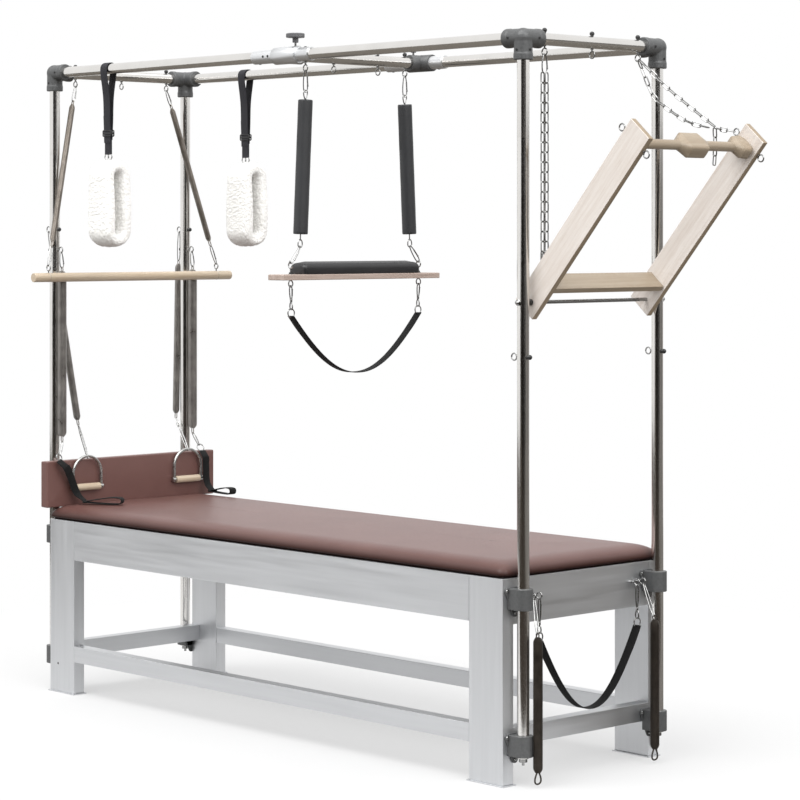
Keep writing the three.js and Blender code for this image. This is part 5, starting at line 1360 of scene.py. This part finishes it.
def card(name, tone, near, far, left, right, z0, z1, from_above=False):
    """A studio card that only reflections see, or only those that look down on it. near and far run
    toward the camera, left and right across."""
    material, nodes, links, shade = new_material(name)
    if from_above:
        side = nodes.new("ShaderNodeNewGeometry")
        clear = nodes.new("ShaderNodeBsdfTransparent")
        choice = nodes.new("ShaderNodeMixShader")
        links.new(side.outputs["Backfacing"], choice.inputs["Fac"])
        links.new(clear.outputs[0], choice.inputs[1])
        links.new(shade.outputs[0], choice.inputs[2])
        links.new(choice.outputs[0], nodes["Material Output"].inputs["Surface"])
    shade.inputs["Base Color"].default_value = (*tone, 1)
    shade.inputs["Roughness"].default_value = 1.0
    shade.inputs["Specular IOR Level"].default_value = 0.0
    at = lambda along, across, z: toward * along + aside * across + vec(0, 0, z)
    if near == far or z0 == z1:
        corners = [at(near, left, z0), at(near, right, z0), at(far, right, z1), at(far, left, z1)]
    else:
        corners = [at(near, left, z0), at(far, right, z0), at(far, right, z1), at(near, left, z1)]
    plane = stage_plane(name, corners, material)
    plane.visible_camera = plane.visible_diffuse = plane.visible_shadow = False
    plane.visible_transmission = plane.visible_volume_scatter = False


card("dark_floor_ahead", (0.026, 0.021, 0.017), 1.7, 9.2, -5.0, 3.6, 0.02, 0.02)
card("dark_wall_ahead", (0.016, 0.014, 0.012), 9.2, 9.2, -7.2, 4.2, 0.0, 4.6)
card("dark_wall_left", (0.035, 0.030, 0.026), 9.2, 9.2, -14.0, -7.2, 0.0, 1.5)
card("dim_wall_right", (0.045, 0.042, 0.038), 9.2, 9.2, 4.2, 6.6, 0.0, 4.6)
card("half_wall_right", (0.13, 0.125, 0.12), 9.2, 9.2, 6.6, 10.0, 0.0, 4.6)
card("low_wall_left", (0.085, 0.074, 0.063), -5.0, 9.2, -4.4, -4.4, 0.0, 0.6)
card("grey_floor_right", (0.10, 0.094, 0.087), 1.7, 9.2, 3.6, 10.0, 0.02, 0.02)
card("grey_floor_near_right", (0.12, 0.114, 0.107), -5.0, 1.7, 0.95, 10.0, 0.02, 0.02)
card("grey_wall_right", (0.20, 0.19, 0.18), -5.0, 9.2, 10.0, 10.0, 0.0, 2.4)
card("brown_card_under_rails", (0.12, 0.11, 0.098), -1.6, 1.6, -1.5, 1.5, 1.95, 1.95, from_above=True)

world = bpy.data.worlds.new("studio")
bpy.context.scene.world = world
world.use_nodes = True
nodes, links = world.node_tree.nodes, world.node_tree.links
soft = nodes["Background"]
soft.inputs["Color"].default_value = (1, 1, 1, 1)
soft.inputs["Strength"].default_value = 0.85
seen = nodes.new("ShaderNodeBackground")
seen.inputs["Color"].default_value = (1, 1, 1, 1)
seen.inputs["Strength"].default_value = 1.0
mixed = nodes.new("ShaderNodeMixShader")
links.new(to_camera_or_glossy(nodes, links), mixed.inputs["Fac"])
links.new(soft.outputs[0], mixed.inputs[1])
links.new(seen.outputs[0], mixed.inputs[2])
links.new(mixed.outputs[0], nodes["World Output"].inputs["Surface"])


def sun(name, direction, strength, spread_angle):
    """A soft sun shining along a direction."""
    data = bpy.data.lights.new(name, "SUN")
    data.energy = strength
    data.angle = spread_angle
    lamp = bpy.data.objects.new(name, data)
    bpy.context.scene.collection.objects.link(lamp)
    lamp.rotation_euler = Vector(direction).to_track_quat("-Z", "Y").to_euler()


sun("key", (0.1, 0.72, -0.95), 2.5, 0.9)
sun("top", (-0.25, -0.1, -1.0), 1.0, 1.2)
sun("side", (-0.85, 0.2, -0.5), 1.9, 0.9)

view = bpy.context.scene.view_settings
view.view_transform = "Standard"
